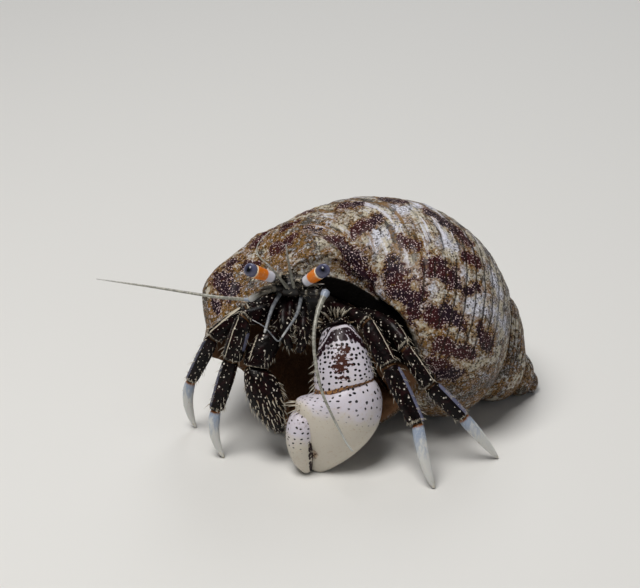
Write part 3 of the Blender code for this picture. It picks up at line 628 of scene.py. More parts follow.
@dataclass(frozen=True)
class ShellFinish:
    """A worn turban shell: cream with golden mottling, maroon blotches with pale specks, fine cords, and
    painted shade in its mouth.
    """

    cream: tuple = tone(190, 180, 158)
    grey: tuple = tone(150, 148, 150)
    chalk_and_glint: tuple = tone(226, 227, 240)
    gold: tuple = tone(132, 96, 40)
    umber: tuple = tone(28, 19, 13)
    maroon: tuple = tone(60, 22, 24)
    violet: tuple = tone(34, 18, 30)
    speck: tuple = tone(216, 192, 190)
    inner: tuple = tone(140, 104, 76)
    # The dark of the painted shade deep in the mouth
    dusk: tuple = tone(7, 5, 4)
    cords: int = 40
    grain: float = 420.0

    def material(self) -> Material:
        """Builds the shell's material.

        Returns:
            The material.
        """
        paint = Paint("turban_shell")
        blotch, inside, stain = paint.painted("blotch"), paint.painted("inside"), paint.painted("stain")
        around = paint.add("ShaderNodeMath", {"operation": "ARCTAN2"},
                           {0: paint.painted("under"), 1: paint.painted("across")})
        lie = paint.stretched((1.0, 1.0, 1.35), (0.3, 0.5, 0.2))
        broad, small = paint.noise(self.grain * 0.5, 5.0, 0.6, lie), paint.noise(self.grain, 6.0, 0.62)
        fine = paint.noise(self.grain * 3.4, 5.0, 0.65)
        grain = paint.noise(self.grain * 8.0, 3.0, 0.6)
        ground = paint.blend(small.step(0.4, 0.6), self.cream, self.grey)
        mottle = (small * 0.5 + fine * 0.35 + grain * 0.15).step(0.455, 0.53)
        ground = paint.blend(mottle * 0.78, ground, paint.blend(broad.step(0.4, 0.56), self.gold, self.umber))
        bare = paint.painted("bare").frayed(small, 5.0).frayed(fine, 4.5).step(-0.5, 0.4)
        bare = bare.larger((broad * 0.5 + fine * 0.5).step(0.54, 0.62))
        chalky = paint.blend(grain.step(0.42, 0.58) * 0.6, self.chalk_and_glint, self.grey)
        ground = paint.blend(bare * 0.9, ground, chalky)
        brown = stain.frayed(broad, 3.4).frayed(fine, 3.4).step(0.4, 0.75)
        earth = paint.blend((small * 0.5 + fine * 0.5).step(0.46, 0.55), self.umber, self.gold)
        ground = paint.blend(brown * 0.85, ground, earth)
        edge = blotch.frayed(small, 2.8).frayed(fine, 3.2)
        ground = paint.blend(edge.step(-0.8, -0.3) * 0.75, ground, self.gold)
        patch = paint.blend(broad.step(0.42, 0.58), self.maroon, self.violet)
        patch = paint.blend(fine.step(0.58, 0.7) * 0.7, patch, self.gold)
        dark = edge.step(-0.15, 0.1)
        ground = paint.blend(dark, ground, patch)
        dots = paint.cells(self.grain * 8.0).step(0.35, 0.2) * (0.2 + 0.8 * dark.larger(brown * 0.35))
        ground = paint.blend(dots * small.step(0.34, 0.46), ground, self.speck)
        grit = paint.cells(self.grain * 6.1).step(0.42, 0.26) * fine.step(0.42, 0.54)
        ground = paint.blend(grit * 0.9, ground, self.umber)
        pits = (grain * 0.6 + fine * 0.4).step(0.54, 0.6) * (1.0 - dark)
        ground = paint.blend(pits * 0.75, ground, self.umber)
        # Painted glints: pale specks standing for sparkle on the wet shell
        glint = (grain * 0.6 + fine * 0.4).step(0.46, 0.4) * (1.0 - dark)
        ground = paint.blend(glint * 0.45, ground, self.chalk_and_glint)
        flow = paint.add("ShaderNodeCombineXYZ", {}, {"X": paint.painted("turn") * 9.0, "Y": around * 9.0})
        streak = paint.noise(1.0, 6.0, 0.62, flow)
        high = paint.painted("high")
        mixed = paint.blend(small.step(0.44, 0.56), self.umber, self.gold)
        ground = paint.blend(streak.step(0.5, 0.6) * high * (1.0 - dark) * 0.85, ground, mixed)
        ground = paint.blend(streak.step(0.44, 0.36) * high * (1.0 - dark) * 0.7, ground, self.chalk_and_glint)
        wave = (around * float(self.cords) + (broad - 0.5) * 2.5).sine()
        thread = wave.step(-0.7, -0.96) * paint.painted("threads").frayed(small, 3.0).step(0.35, 0.8)
        ground = paint.blend(thread * 0.8, ground, self.umber)
        # Painted shade: the inside's colour darkens to dusk deep in the mouth; the inside layer also lays it
        # on the hollowed outer wall and the lip's underside
        deep = paint.painted("deep").frayed(fine, 0.4).step(0.1, 0.7)
        colour = paint.blend(inside.step(0.2, 0.7), ground, paint.blend(deep, self.inner, self.dusk))
        relief = small * 0.6 + fine * 0.4 + wave * 0.05 + grain * 0.25
        rough = 0.36 + fine * 0.35 + inside * 0.3
        return paint.close(colour, rough, paint.bump(relief, 0.0005, 1.0), Coat_Roughness=0.3,
                           Coat_Weight=(1.0 - inside) * 0.22, Specular_IOR_Level=0.05)


@dataclass(frozen=True)
class CuticleFinish:
    """Nearly black maroon cuticle, wet, with pale pores, cream edges and a lilac-blue stripe."""

    name: str = "dark_cuticle"
    dark: tuple = tone(9, 5, 5)
    maroon: tuple = tone(40, 16, 18)
    pore: tuple = tone(236, 228, 216)
    blue: tuple = tone(112, 114, 138)
    cream: tuple = tone(214, 204, 184)
    joint: tuple = tone(104, 72, 40)
    pores: float = 1200.0
    pore_size: float = 0.22

    def material(self) -> Material:
        """Builds the dark cuticle's material.

        Returns:
            The material.
        """
        paint = Paint(self.name)
        cloud, fine = paint.noise(700.0, 4.0), paint.noise(2600.0, 4.0, 0.6)
        colour = paint.blend((cloud * 0.6 + fine * 0.4).step(0.46, 0.68), self.dark, self.maroon)
        stripe = paint.painted("stripe").frayed(fine, 0.25).step(0.4, 0.6)
        lilac = paint.blend(cloud.step(0.55, 0.75) * 0.5, self.blue, self.cream)
        colour = paint.blend(stripe * 0.92, colour, lilac)
        spots = paint.cells(self.pores).step(self.pore_size, self.pore_size * 0.45)
        spots = spots * paint.noise(1300.0, 2.0).step(0.38, 0.48) * (1.0 - stripe)
        colour = paint.blend(spots * 0.9, colour, self.pore)
        edge = paint.painted("edge").frayed(fine, 0.7).step(0.5, 0.8)
        colour = paint.blend(edge * 0.8, colour, self.cream)
        hinge = paint.painted("hinge").frayed(fine, 0.5).step(0.4, 0.75)
        colour = paint.blend(hinge * 0.5, colour, self.joint)
        relief = fine * 0.5 + paint.cells(1900.0) * 0.4 + cloud * 0.3
        return paint.close(colour, 0.26 + fine * 0.3, paint.bump(relief, 0.00012, 0.8), Coat_Weight=0.1,
                           Coat_Roughness=0.1, Specular_IOR_Level=0.08)


@dataclass(frozen=True)
class PorcelainFinish:
    """A blue-white horny tip with an orange-brown ring at its root."""

    white: tuple = tone(214, 214, 210)
    blue: tuple = tone(134, 152, 180)
    ring: tuple = tone(140, 84, 32)
    horn: tuple = tone(186, 172, 140)

    def material(self) -> Material:
        """Builds the tip's material.

        Returns:
            The material.
        """
        paint = Paint("porcelain_tip")
        along, fine = paint.painted("along"), paint.noise(1500.0, 4.0, 0.6)
        streak = paint.noise(900.0, 4.0, 0.6, paint.stretched((2.2, 2.2, 0.45)))
        upper = (0.85 - along + (streak - 0.5) * 1.4).step(0.35, 0.85)
        colour = paint.blend(upper * 0.9, self.white, self.blue)
        colour = paint.blend((streak - 0.5).step(0.04, 0.2) * 0.4, colour, self.white)
        colour = paint.blend(along.frayed(fine, 0.3).step(0.86, 1.02) * 0.7, colour, self.horn)
        colour = paint.blend(along.frayed(fine, 0.06).step(0.055, 0.02), colour, self.ring)
        relief = streak * 0.5 + fine * 0.3
        return paint.close(colour, 0.22 + fine * 0.18, paint.bump(relief, 0.00006, 0.7), Coat_Weight=0.4,
                           Coat_Roughness=0.15, Subsurface_Weight=0.12, Subsurface_Radius=SHEEN,
                           Subsurface_Scale=0.4)


@dataclass(frozen=True)
class DottedFinish:
    """Smooth pale armour with scattered dark dots, dark and rusty patches, golden seams, and painted shade in
    the slit between the fingers.
    """

    name: str
    pale: tuple = tone(210, 202, 188)
    cool: tuple = tone(212, 206, 216)
    dot: tuple = tone(14, 7, 10)
    dark: tuple = tone(34, 12, 21)
    rust: tuple = tone(66, 32, 24)
    gold: tuple = tone(172, 118, 48)
    spacing: float = 0.64

    def material(self) -> Material:
        """Builds the dotted armour's material.

        Returns:
            The material.
        """
        paint = Paint(self.name)
        rows = paint.add("ShaderNodeUVMap", {"uv_map": "rows"})
        wobble = paint.add("ShaderNodeTexNoise", {}, {"Vector": paint.places, "Scale": 900.0}, "Color")
        wobble = paint.add("ShaderNodeVectorMath", {"operation": "MULTIPLY_ADD"},
                           {0: wobble, 1: (0.35, 0.35, 0.0), 2: rows})
        cloud, fine = paint.noise(420.0, 4.0), paint.noise(2400.0, 4.0, 0.6)
        cool = paint.painted("cool").frayed(cloud, 0.8).step(0.3, 0.75)
        ground = paint.blend(cool, self.pale, self.cool)
        ground = paint.blend((fine - 0.5).step(0.05, 0.22) * 0.25, ground, self.gold)
        spot = paint.cells(1.0 / self.spacing, 0.55, wobble, flat=True)
        top = paint.painted("dark") * (1.75 - spot * 1.6) + (cloud - 0.5) * 0.5
        top = top.frayed(fine, 0.6).step(0.4, 0.6)
        ground = paint.blend(top, ground, self.dark)
        size = paint.painted("dots").frayed(cloud, 0.12)
        dots = (size - spot).step(-0.015, 0.035)
        strength = paint.painted("dots").step(0.03, 0.2)
        ground = paint.blend(dots * strength * (1.0 - top), ground, self.dot)
        light = (0.13 - spot).step(-0.02, 0.04) * paint.painted("dark").step(0.85, 0.95)
        ground = paint.blend(light * 0.9, ground, self.cool)
        streak = paint.noise(1.1, 4.0, 0.6, paint.stretched((0.7, 1.6, 1.0), (0.0, 0.0, 0.5), rows))
        # Rust-brown patches on the wrist; on the palm this layer is painted shade in the slit between the
        # fingers
        rust = paint.painted("rust").frayed(cloud, 1.5).frayed(streak, 2.0)
        rust = rust.frayed(fine, 2.2).step(0.7, 0.9) * paint.painted("rust").step(0.0, 0.3)
        ground = paint.blend(rust, ground, self.rust)
        seam = paint.painted("gold").frayed(fine, 0.5).step(0.35, 0.8)
        colour = paint.blend(seam * 0.95, ground, paint.blend(fine.step(0.45, 0.6), self.gold, self.rust))
        relief = cloud * 0.6 + fine * 0.15 - dots * 0.12
        return paint.close(colour, 0.34 + fine * 0.16, paint.bump(relief, 0.00008, 0.6), Coat_Weight=0.06,
                           Coat_Roughness=0.2, Specular_IOR_Level=0.2, Subsurface_Weight=0.04,
                           Subsurface_Radius=SHEEN, Subsurface_Scale=0.4)


@dataclass(frozen=True)
class StalkFinish:
    """An eyestalk: dark at its root, then a white, an orange and a narrow cream band."""

    dark: tuple = tone(24, 18, 20)
    white: tuple = tone(214, 214, 226)
    orange: tuple = tone(230, 122, 4)
    cream: tuple = tone(226, 206, 170)
    stops: tuple = (0.4, 0.64, 0.985)

    def material(self, name: str) -> Material:
        """Builds a stalk's material.

        Args:
            name: The material's name.

        Returns:
            The material.
        """
        paint = Paint(name)
        fine = paint.noise(2600.0, 3.0)
        along = paint.painted("along").frayed(fine, 0.05)
        first, second, third = self.stops
        colour = paint.blend(along.step(first - 0.03, first + 0.03), self.dark, self.white)
        colour = paint.blend(along.step(second - 0.025, second + 0.025), colour, self.orange)
        colour = paint.blend((fine - 0.5).step(0.02, 0.2) * 0.25, colour, self.cream)
        colour = paint.blend(along.step(third - 0.02, third + 0.02), colour, self.cream)
        return paint.close(colour, 0.36, paint.bump(fine, 0.00004, 0.6), Coat_Weight=0.15, Coat_Roughness=0.2)


@dataclass(frozen=True)
class CorneaFinish:
    """A slate-violet compound eye with a dark spot and a lilac rim, finely faceted."""

    slate: tuple = tone(90, 91, 118)
    deep: tuple = tone(32, 34, 54)
    spot: tuple = tone(5, 5, 10)
    rim: tuple = tone(160, 154, 186)

    def material(self) -> Material:
        """Builds the cornea's material.

        Returns:
            The material.
        """
        paint = Paint("cornea")
        facets = paint.cells(9000.0, 0.35)
        ring, spot = paint.painted("rim"), paint.painted("spot")
        fine = paint.noise(2600.0, 3.0)
        colour = paint.blend(spot.frayed(fine, 0.2).step(0.25, 0.95), self.slate, self.deep)
        colour = paint.blend(ring.step(0.3, 0.8), colour, self.rim)
        colour = paint.blend(spot.step(0.86, 0.93), colour, self.spot)
        return paint.close(colour, 0.26, paint.bump(facets, 0.000015, 0.6), Coat_Weight=0.35,
                           Coat_Roughness=0.1, Specular_IOR_Level=0.35)


@dataclass(frozen=True)
class FeelerFinish:
    """A clear grey-green feeler with faint rings, paler at its tip and dark or milky at its root."""

    name: str = "feeler"
    pale: tuple = tone(168, 166, 154)
    grey: tuple = tone(118, 117, 108)
    rings: float = 260.0
    dusk: tuple = tone(18, 15, 13)
    ball: tuple = tone(150, 160, 176)
    tip: tuple = tone(206, 206, 204)

    def material(self) -> Material:
        """Builds the feeler's material.

        Returns:
            The material.
        """
        paint = Paint(self.name)
        fine = paint.noise(2200.0, 4.0)
        rings = (paint.painted("along") * self.rings).sine().step(0.1, 0.9)
        colour = paint.blend(fine.step(0.35, 0.65), self.grey, self.pale)
        colour = paint.blend(rings * 0.35, colour, self.grey)
        colour = paint.blend(paint.painted("along").step(0.72, 1.0) * 0.7, colour, self.tip)
        colour = paint.blend(paint.painted("dusk").frayed(fine, 0.6).step(0.3, 0.6), colour, self.dusk)
        colour = paint.blend(paint.painted("dusk").step(-0.3, -0.7), colour, self.ball)
        return paint.close(colour, 0.34, paint.bump(fine, 0.00004, 0.6), Coat_Weight=0.12,
                           Coat_Roughness=0.2, Subsurface_Weight=0.15, Subsurface_Scale=0.4,
                           Subsurface_Radius=(0.001, 0.001, 0.001))


@dataclass(frozen=True)
class BristleFinish:
    """Stiff pale bristles, browner at the root."""

    name: str
    root: tuple = tone(128, 108, 80)
    tip: tuple = tone(214, 206, 188)

    def material(self) -> Material:
        """Builds the bristles' material.

        Returns:
            The material.
        """
        paint = Paint(self.name)
        share = paint.painted("reach") * 0.7 + paint.painted("shade") * 0.5
        colour = paint.blend(share.step(0.15, 0.75), self.root, self.tip)
        return paint.close(colour, 0.35, Coat_Weight=0.2, Coat_Roughness=0.2)


@dataclass(frozen=True)
class FleshFinish:
    """The dark head shield and thorax, and the brown soft body behind them."""

    dark: tuple = tone(12, 9, 8)
    brown: tuple = tone(104, 78, 58)
    speck: tuple = tone(170, 160, 132)

    def material(self) -> Material:
        """Builds the flesh's material.

        Returns:
            The material.
        """
        paint = Paint("flesh")
        cloud, fine = paint.noise(600.0, 4.0), paint.noise(2600.0, 4.0)
        colour = paint.blend((cloud * 0.6 + fine * 0.4).step(0.46, 0.72) * 0.2, self.dark, self.brown)
        colour = paint.blend(paint.painted("soft"), colour, self.brown)
        dots = paint.cells(1700.0).step(0.24, 0.1) * cloud.step(0.46, 0.6)
        colour = paint.blend(dots * 0.8, colour, self.speck)
        return paint.close(colour, 0.35 + fine * 0.2, paint.bump(fine + cloud, 0.0001, 0.8), Coat_Weight=0.3,
                           Coat_Roughness=0.2)


def settle(item: Item, material: Material, slot: Slot, *nodes: str) -> Item:
    """Gives a piece its finish and its ride, and hides the solids it stands for.

    Args:
        item: The finished piece.
        material: Its finish.
        slot: The record's slot for that finish; not used.
        *nodes: The solids that it stands for.

    Returns:
        The piece.
    """
    item.data.materials.clear()
    item.data.materials.append(material)
    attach(item, "root")
    if nodes:
        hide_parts(*nodes)
    LOG.info("%s: %d faces", item.name, len(item.data.polygons))
    return item


# Bristles


@dataclass(frozen=True)
class Growth:
    """How bristles grow on a stretch of a limb, with lengths and widths in millimetres."""

    count: int
    length: tuple[float, float]
    lean: float = 40.0
    width: float = 0.15
    between: tuple[float, float] = (-9.0, 9.0)
    facing: Point | None = None
    closely: float = 0.3
    spacing: float = 0.3
    curl: float = 0.25


class Coat:
    """Many bristles joined into one piece, each rooted in the surface that it grows from.

    tries is how many spots are drawn for each bristle that is wanted. swing is how far their lean varies,
    in degrees, sway how far they turn aside, and sunk how deep their roots sit, in millimetres. They keep
    the margin from the solids' box, and each has a patch of its own on the bake map.
    """

    tries = 6
    swing = 12.0
    sway = 0.25
    curls = (0.3, 1.3)
    sunk = 0.08
    margin = 2e-5
    bake_map = "OFBake"
    patch = 0.003

    def __init__(self, name: str, cells: int) -> None:
        """Starts an empty coat whose bake map is divided among that many skins."""
        self.name = name
        self.cells = cells
        self.used = 0
        self.random = np.random.default_rng(SEED + sum(map(ord, name)))
        self.pattern, self.faces = self._pattern()
        self.points: list[np.ndarray] = []
        self.roots: list[np.ndarray] = []

    @staticmethod
    def _pattern() -> tuple[np.ndarray, list[tuple[int, ...]]]:
        """One bristle of length and width 1, as points and faces."""
        Bench.clear()
        bpy.ops.mesh.primitive_cone_add(vertices=4, radius1=0.5, radius2=0.06, depth=1.0,
                                        location=(0, 0, 0.5))
        item = bpy.context.object
        bpy.ops.object.transform_apply(location=True)
        bpy.ops.object.mode_set(mode="EDIT")
        for height in (0.3, 0.65):
            bpy.ops.mesh.select_all(action="SELECT")
            bpy.ops.mesh.bisect(plane_co=(0, 0, height), plane_no=(0, 0, 1))
        Bench.clear()
        points = Skin.points(item)
        taper = 1 - 0.8 * np.clip(points[:, 2], 0, 1) ** 1.6
        straight = 1 - 0.88 * np.clip(points[:, 2], 0, 1)
        points[:, :2] *= (taper / straight)[:, None]
        faces = [tuple(face.vertices) for face in item.data.polygons]
        bpy.data.objects.remove(item)
        return points, faces

    def grow(self, skin: Item, stations: Rings, growths: Sequence[Growth]) -> None:
        """Roots bristles in a skin.

        Args:
            skin: The surface.
            stations: The rings that it was made from, which give the way to its tip.
            growths: The kinds of bristle that grow there.
        """
        places, normals, along = Skin.points(skin), Skin.normals(skin), Skin.read(skin, "along")
        spin = Skin.around(skin) / (2 * math.pi) + 0.5
        skin.data.calc_loop_triangles()
        corners = np.array([tri.vertices[:] for tri in skin.data.loop_triangles])
        a, b, c = (places[corners[:, k]] for k in range(3))
        areas = np.linalg.norm(np.cross(b - a, c - a), axis=1) / 2
        middle_along, facing = along[corners].mean(axis=1), normals[corners].mean(axis=1)
        order = sorted(stations, key=lambda station: station.along)
        keys = [station.along for station in order]
        runs = np.array([station.normal for station in order])
        low, high = min(keys), max(keys)
        cell, self.used = self.used, self.used + 1
        for growth in growths:
            weight = areas * ((middle_along > growth.between[0]) & (middle_along < growth.between[1]))
            if growth.facing is not None:
                weight = weight * (facing @ np.array(Vector(growth.facing).normalized()) > growth.closely)
            if weight.sum() <= 0:
                continue
            picks = self.random.choice(len(weight), growth.count * self.tries, p=weight / weight.sum())
            mix = self.random.dirichlet((1.0, 1.0, 1.0), len(picks))
            spots = np.einsum("nk,nkd->nd", mix, places[corners[picks]])
            for i in self._apart(spots, growth):
                corner = corners[picks[i]]
                share = float(mix[i] @ along[corner])
                up = Vector(mix[i] @ normals[corner]).normalized()
                chart = ((cell + float(spin[corner[0]])) / self.cells, (share - low) / (high - low))
                self._add(Vector(spots[i]), up, between(share, keys, runs).normalized(), growth, chart)

    @staticmethod
    def _apart(spots: np.ndarray, growth: Growth) -> list[int]:
        """The first spots that keep their distance from one another, up to the number that is wanted."""
        kept: list[int] = []
        for i, spot in enumerate(spots):
            if len(kept) >= growth.count:
                break
            if not kept or np.min(np.linalg.norm(spots[kept] - spot, axis=1)) >= growth.spacing * MM:
                kept.append(i)
        return kept

    def _add(self, root: Vector, up: Vector, run: Vector, growth: Growth, chart: tuple[float, float]) -> None:
        """Lays one bristle, unless it would leave the solids' box."""
        run = (run - up * run.dot(up)).normalized()
        side = up.cross(run)
        lean = math.radians(growth.lean + self.random.uniform(-self.swing, self.swing))
        sway = self.random.uniform(-self.sway, self.sway)
        way = (up * math.cos(lean) + (run + side * sway).normalized() * math.sin(lean)).normalized()
        length = self.random.uniform(*growth.length) * MM
        bend = (run - up * 0.4).normalized() * (growth.curl * self.random.uniform(*self.curls) * length)
        tip = root + way * length + bend
        if any(t < lo + self.margin or t > hi - self.margin for t, lo, hi in zip(tip, CAD_LOW, CAD_HIGH)):
            return
        aside = way.cross(side).normalized()
        across, deep = np.array(way.cross(aside)), np.array(aside)
        x, y, z = self.pattern.T
        width = growth.width * MM
        foot = np.array(root - way * self.sunk * MM)
        self.points.append(foot + np.outer(x * width, across) + np.outer(y * width, deep)
                           + np.outer(z * length, np.array(way)) + np.outer(z ** 2, np.array(bend)))
        self.roots.append(np.array((*chart, self.random.uniform(0, 1))))

    def build(self, material: Material, slot: Slot) -> Item:
        """Joins the bristles into one mesh.

        Args:
            material: Their finish.
            slot: The record's slot for it.

        Returns:
            The coat.
        """
        count, size = len(self.points), len(self.pattern)
        corners = [tuple(k + i * size for k in face) for i in range(count) for face in self.faces]
        mesh = bpy.data.meshes.new(self.name)
        mesh.from_pydata(np.concatenate(self.points).tolist(), [], corners)
        item = Bench.new(self.name, mesh)
        roots = np.array(self.roots)
        Skin.paint(item, reach=np.tile(self.pattern[:, 2], count), shade=np.repeat(roots[:, 2], size))
        loops = Skin.numbers(mesh.loops, "vertex_index")
        inside = self.pattern[loops % size]
        patch = np.stack((inside[:, 0] + 0.5, inside[:, 2]), axis=1) * self.patch
        Skin.chart(item, self.bake_map, np.clip(roots[loops // size, :2], 0.0, 1.0 - self.patch) + patch)
        Bench.smooth(item, 0)
        return settle(item, material, slot)


# The shell


@dataclass
class Bulge:
    """A soft push of the shell's wall about a place, in millimetres."""

    centre: Point
    radius: float
    push: Point

    def move(self, places: np.ndarray) -> np.ndarray:
        """How far each place in metres is pushed."""
        near = np.linalg.norm(places - np.array(at(self.centre)), axis=1) / (self.radius * MM)
        return np.outer(np.clip(1 - near ** 2, 0.0, 1.0) ** 2, np.array(self.push) * MM)


@dataclass
class Mark:
    """A mark on the shell: rounded strokes through a row of places, with a radius each, in millimetres."""

    radii: tuple[float, ...]
    places: tuple[Point, ...]

    def strokes(self) -> list[tuple[Vector, Vector, float]]:
        """The start, the end and the radius of each stroke, with the places in metres."""
        row = [at(place) for place in self.places]
        return list(zip(row, row[1:], self.radii))


@dataclass
class TurbanShell:
    """The shell: a tube that winds about an axis and shrinks towards its apex, with a hollow mouth."""

    apex: Point = (33.9, -2.5, -0.25)
    heading: float = math.radians(13.2)
    dip: float = math.radians(34.5)
    roll: float = math.radians(86.2)
    mouth: float = 14.1
    growth: float = 2.0
    height: float = 4.36
    from_axis: float = 0.614
    oval: float = 1.215
    lean: float = math.radians(23.6)
    turns: float = 4.1
    sides: int = 48
    step: float = 0.025
    spire_start: float = 1.3
    spire_step: float = 1 / 12
    columella: float = 0.04
    inner_columella: float = 0.14
    pad: float = 0.3
    pad_push: Point = (0.4, -2.5, 1.5)
    pad_end: float = 0.34
    pad_angle: float = math.radians(190.0)
    hollow: float = 0.88
    hollow_end: float = 0.42
    hollow_rings: int = 10
    lip: tuple = ((-0.008, 0.9, 1.0), (-0.014, 0.93, 0.6), (-0.014, 0.965, 0.1), (-0.008, 0.99, 0.0),
                  (0.002, 1.0, 0.0))
    lip_drop: Point = (0.2, -6.0, -5.0)
    lip_angle: float = math.radians(257.0)
    lip_reach: float = 0.12
    bulges: tuple = (Bulge((-16.5, -8.0, 22.0), 8.5, (-4.2, 0.2, 0.5)),
                     Bulge((-13.0, -5.0, 23.0), 9.0, (-0.4, 0.4, 1.1)),
                     Bulge((27.8, -3.0, 14.0), 7.0, (0.7, 0.0, 2.9)),
                     Bulge((-14.8, -11.5, 6.3), 9.0, (3.4, 0.6, 2.4)))
    shade_centre: Point = (1.3, 0.0, 13.0)
    shade_radius: float = 13.0
    shade_depth: float = 2.6
    shade_dent: tuple[float, float, float] = (1.3, math.radians(53.0), math.radians(10.0))
    brow: Point = (0.0, -17.0, 27.0)
    brow_bend: float = 0.057
    brow_slope: float = 0.55
    lump_grain: float = 6.0
    wear_grain: float = 1.6
    line_grain: float = 4.0
    lines_a_turn: int = 34
    relief: tuple = (0.06, 0.05, 0.22, 0.1, 0.18)
    finish: ShellFinish = ShellFinish()
    blotches: tuple = (
        Mark((1.7, 1.3), ((1.6, -8.8, 27.9), (5.0, -11.2, 26.1), (7.0, -13.7, 24.5))),
        Mark((1.5, 1.9, 1.5),
             ((10.0, -14.0, 26.9), (11.0, -15.6, 25.2), (12.6, -17.4, 23.3), (12.9, -18.4, 21.3))),
        Mark((1.7, 1.2), ((16.1, -14.2, 27.3), (17.7, -14.8, 26.4), (19.1, -15.5, 25.0))),
        Mark((1.0,), ((20.9, -11.2, 27.1), (22.5, -10.9, 26.0))),
        Mark((0.8,), ((20.9, -15.5, 23.9), (22.4, -14.3, 23.9))),
        Mark((1.1, 1.2), ((15.9, -4.1, 30.8), (18.1, -6.0, 29.9), (21.2, -7.8, 27.9))),
        Mark((1.0,), ((11.6, -11.0, 29.8), (13.3, -11.9, 29.3))),
        Mark((1.5, 1.1), ((15.7, -18.8, 21.2), (18.5, -18.2, 21.5), (20.0, -18.4, 20.0))),
        Mark((1.1,), ((5.1, -8.2, 29.7), (8.3, -6.7, 31.2))),
        Mark((1.2,), ((16.9, -19.9, 17.4), (21.2, -19.1, 15.4))),
        Mark((1.4,), ((15.5, -20.1, 14.3), (19.2, -19.8, 12.5))),
        Mark((1.1,), ((22.6, -17.6, 18.6), (24.2, -17.1, 15.9))),
        Mark((1.2,), ((9.2, -0.7, 31.4), (11.8, -1.6, 31.4))),
        Mark((1.1,), ((3.2, -1.9, 30.9), (5.6, -2.0, 31.2))),
        Mark((1.9,), ((-13.2, -11.0, 21.8), (-14.2, -9.6, 22.2))),
        Mark((0.9,), ((-16.1, -8.4, 14.3), (-16.3, -8.8, 16.0))),
        Mark((1.6,), ((-2.2, -6.6, 27.2), (0.4, -7.8, 27.0))),
        Mark((1.0,), ((-9.2, -4.2, 25.6), (-7.0, -2.6, 27.0))),
        Mark((1.3,), ((-4.8, -8.0, 26.8), (-3.0, -7.6, 27.6))),
        Mark((1.3,), ((-6.4, -7.6, 25.8), (-5.2, -8.2, 25.4))),
        Mark((1.1,), ((-0.6, -8.4, 25.8), (1.8, -8.4, 26.6))),
        Mark((0.9,), ((-15.5, -11.3, 20.0), (-14.9, -12.9, 19.3))),
        Mark((1.0,), ((-10.6, -8.4, 24.2), (-9.4, -8.6, 24.4))),
        Mark((0.9,), ((-13.8, -6.6, 23.8), (-12.4, -7.0, 24.1))),
        Mark((0.9,), ((-5.6, -4.0, 28.4), (-3.0, -3.2, 29.6))),
    )
    hidden_blotches: int = 46
    hidden_radii: tuple[float, float] = (0.7, 1.9)
    hidden_reach: float = 3.0
    bare: tuple = (
        Mark((1.7,), ((8.2, -10.0, 29.7), (10.2, -9.6, 30.4))),
        Mark((1.4,), ((11.2, -5.0, 31.7), (15.7, -1.8, 30.5))),
        Mark((1.3,), ((18.0, -10.7, 28.9), (19.6, -10.7, 28.1))),
        Mark((1.5,), ((14.3, -15.8, 25.9), (15.2, -16.5, 25.1))),
        Mark((1.0,), ((11.6, -14.2, 27.2), (11.8, -14.9, 26.5))),
        Mark((0.9,), ((8.5, -14.4, 24.6), (8.0, -14.8, 23.4))),
        Mark((1.2,), ((14.0, -17.6, 23.4), (14.3, -18.1, 22.3))),
        Mark((1.4,), ((21.1, -17.1, 21.5), (22.6, -15.5, 22.3))),
        Mark((0.9,), ((20.1, -14.0, 25.9), (20.4, -14.4, 25.1))),
        Mark((1.1,), ((25.8, -11.4, 21.7), (25.1, -10.1, 23.5))),
        Mark((0.8,), ((-2.9, -6.7, 28.2), (0.9, -6.1, 29.4))),
        Mark((1.2,), ((24.6, -14.0, 19.5), (25.8, -13.5, 17.0))),
    )
    hump: Point = (-2.6, -7.5, 26.3)

    def axes(self) -> tuple[Vector, Vector, Vector]:
        """The axis towards the apex and two directions square to it."""
        level = math.cos(self.dip)
        along = Vector((level * math.cos(self.heading), level * math.sin(self.heading), -math.sin(self.dip)))
        side = along.cross(Vector((0.0, 0.0, 1.0))).normalized()
        return along, side, along.cross(side)

    def outline(self, turn: float, size: float, columella: float, sides: int) -> list[Vector]:
        """The tube's outline at a number of turns back from the mouth, in metres."""
        along, side, other = self.axes()
        shrink = self.growth ** -turn
        angle = self.roll + 2 * math.pi * turn
        out = side * math.cos(angle) + other * math.sin(angle)
        tilt = along * math.cos(self.lean) + out.cross(along) * math.sin(self.lean)
        base = Vector(self.apex) - along * (self.height * self.from_axis * self.mouth * shrink)
        reach = self.mouth * shrink
        ring = []
        for j in range(sides):
            around = 2 * math.pi * j / sides
            away = reach * max(self.from_axis + size * math.cos(around), columella)
            ring.append(at(base + out * away + tilt * (reach * size * self.oval * math.sin(around))))
        return ring

    def _wall(self, turn: float) -> float:
        """How near the axis the outer wall comes at a turn, with the callus pad beyond it at the mouth."""
        return self.columella - self.pad * float(ease(np.array(turn), self.pad_end, 0.0))

    def centre(self, turn: float) -> tuple[Vector, Vector, float]:
        """The tube's middle, its way towards the apex and its radius at a turn, in metres."""
        ring = self.outline(turn, 1.0, self.columella, 12)
        ahead = self.outline(turn + 0.01, 1.0, self.columella, 12)
        middle, beyond = (sum(places, Vector()) / 12 for places in (ring, ahead))
        return middle, (beyond - middle).normalized(), self.mouth * MM * self.growth ** -turn

    def _wind(self, step: float) -> None:
        """Extrudes the ring in hand, turns it about the axis and resizes it about the apex."""
        along, _, _ = self.axes()
        bpy.ops.mesh.extrude_region_move(TRANSFORM_OT_translate={"value": (0, 0, 0)})
        Bench.turn(along, 2 * math.pi * step, at(self.apex))
        shrink = self.growth ** -step
        Bench.resize((shrink,) * 3, self.axes(), at(self.apex))

    def _shape(self, item: Item, turn: float, size: float, columella: float) -> None:
        """Moves the ring in hand onto the outline at a turn."""
        bm = bmesh.from_edit_mesh(item.data)
        ring = sorted((vert for vert in bm.verts if vert.select), key=lambda vert: vert.index)
        for vert, place in zip(ring, self.outline(turn, size, columella, self.sides)):
            vert.co = place
        bmesh.update_edit_mesh(item.data)

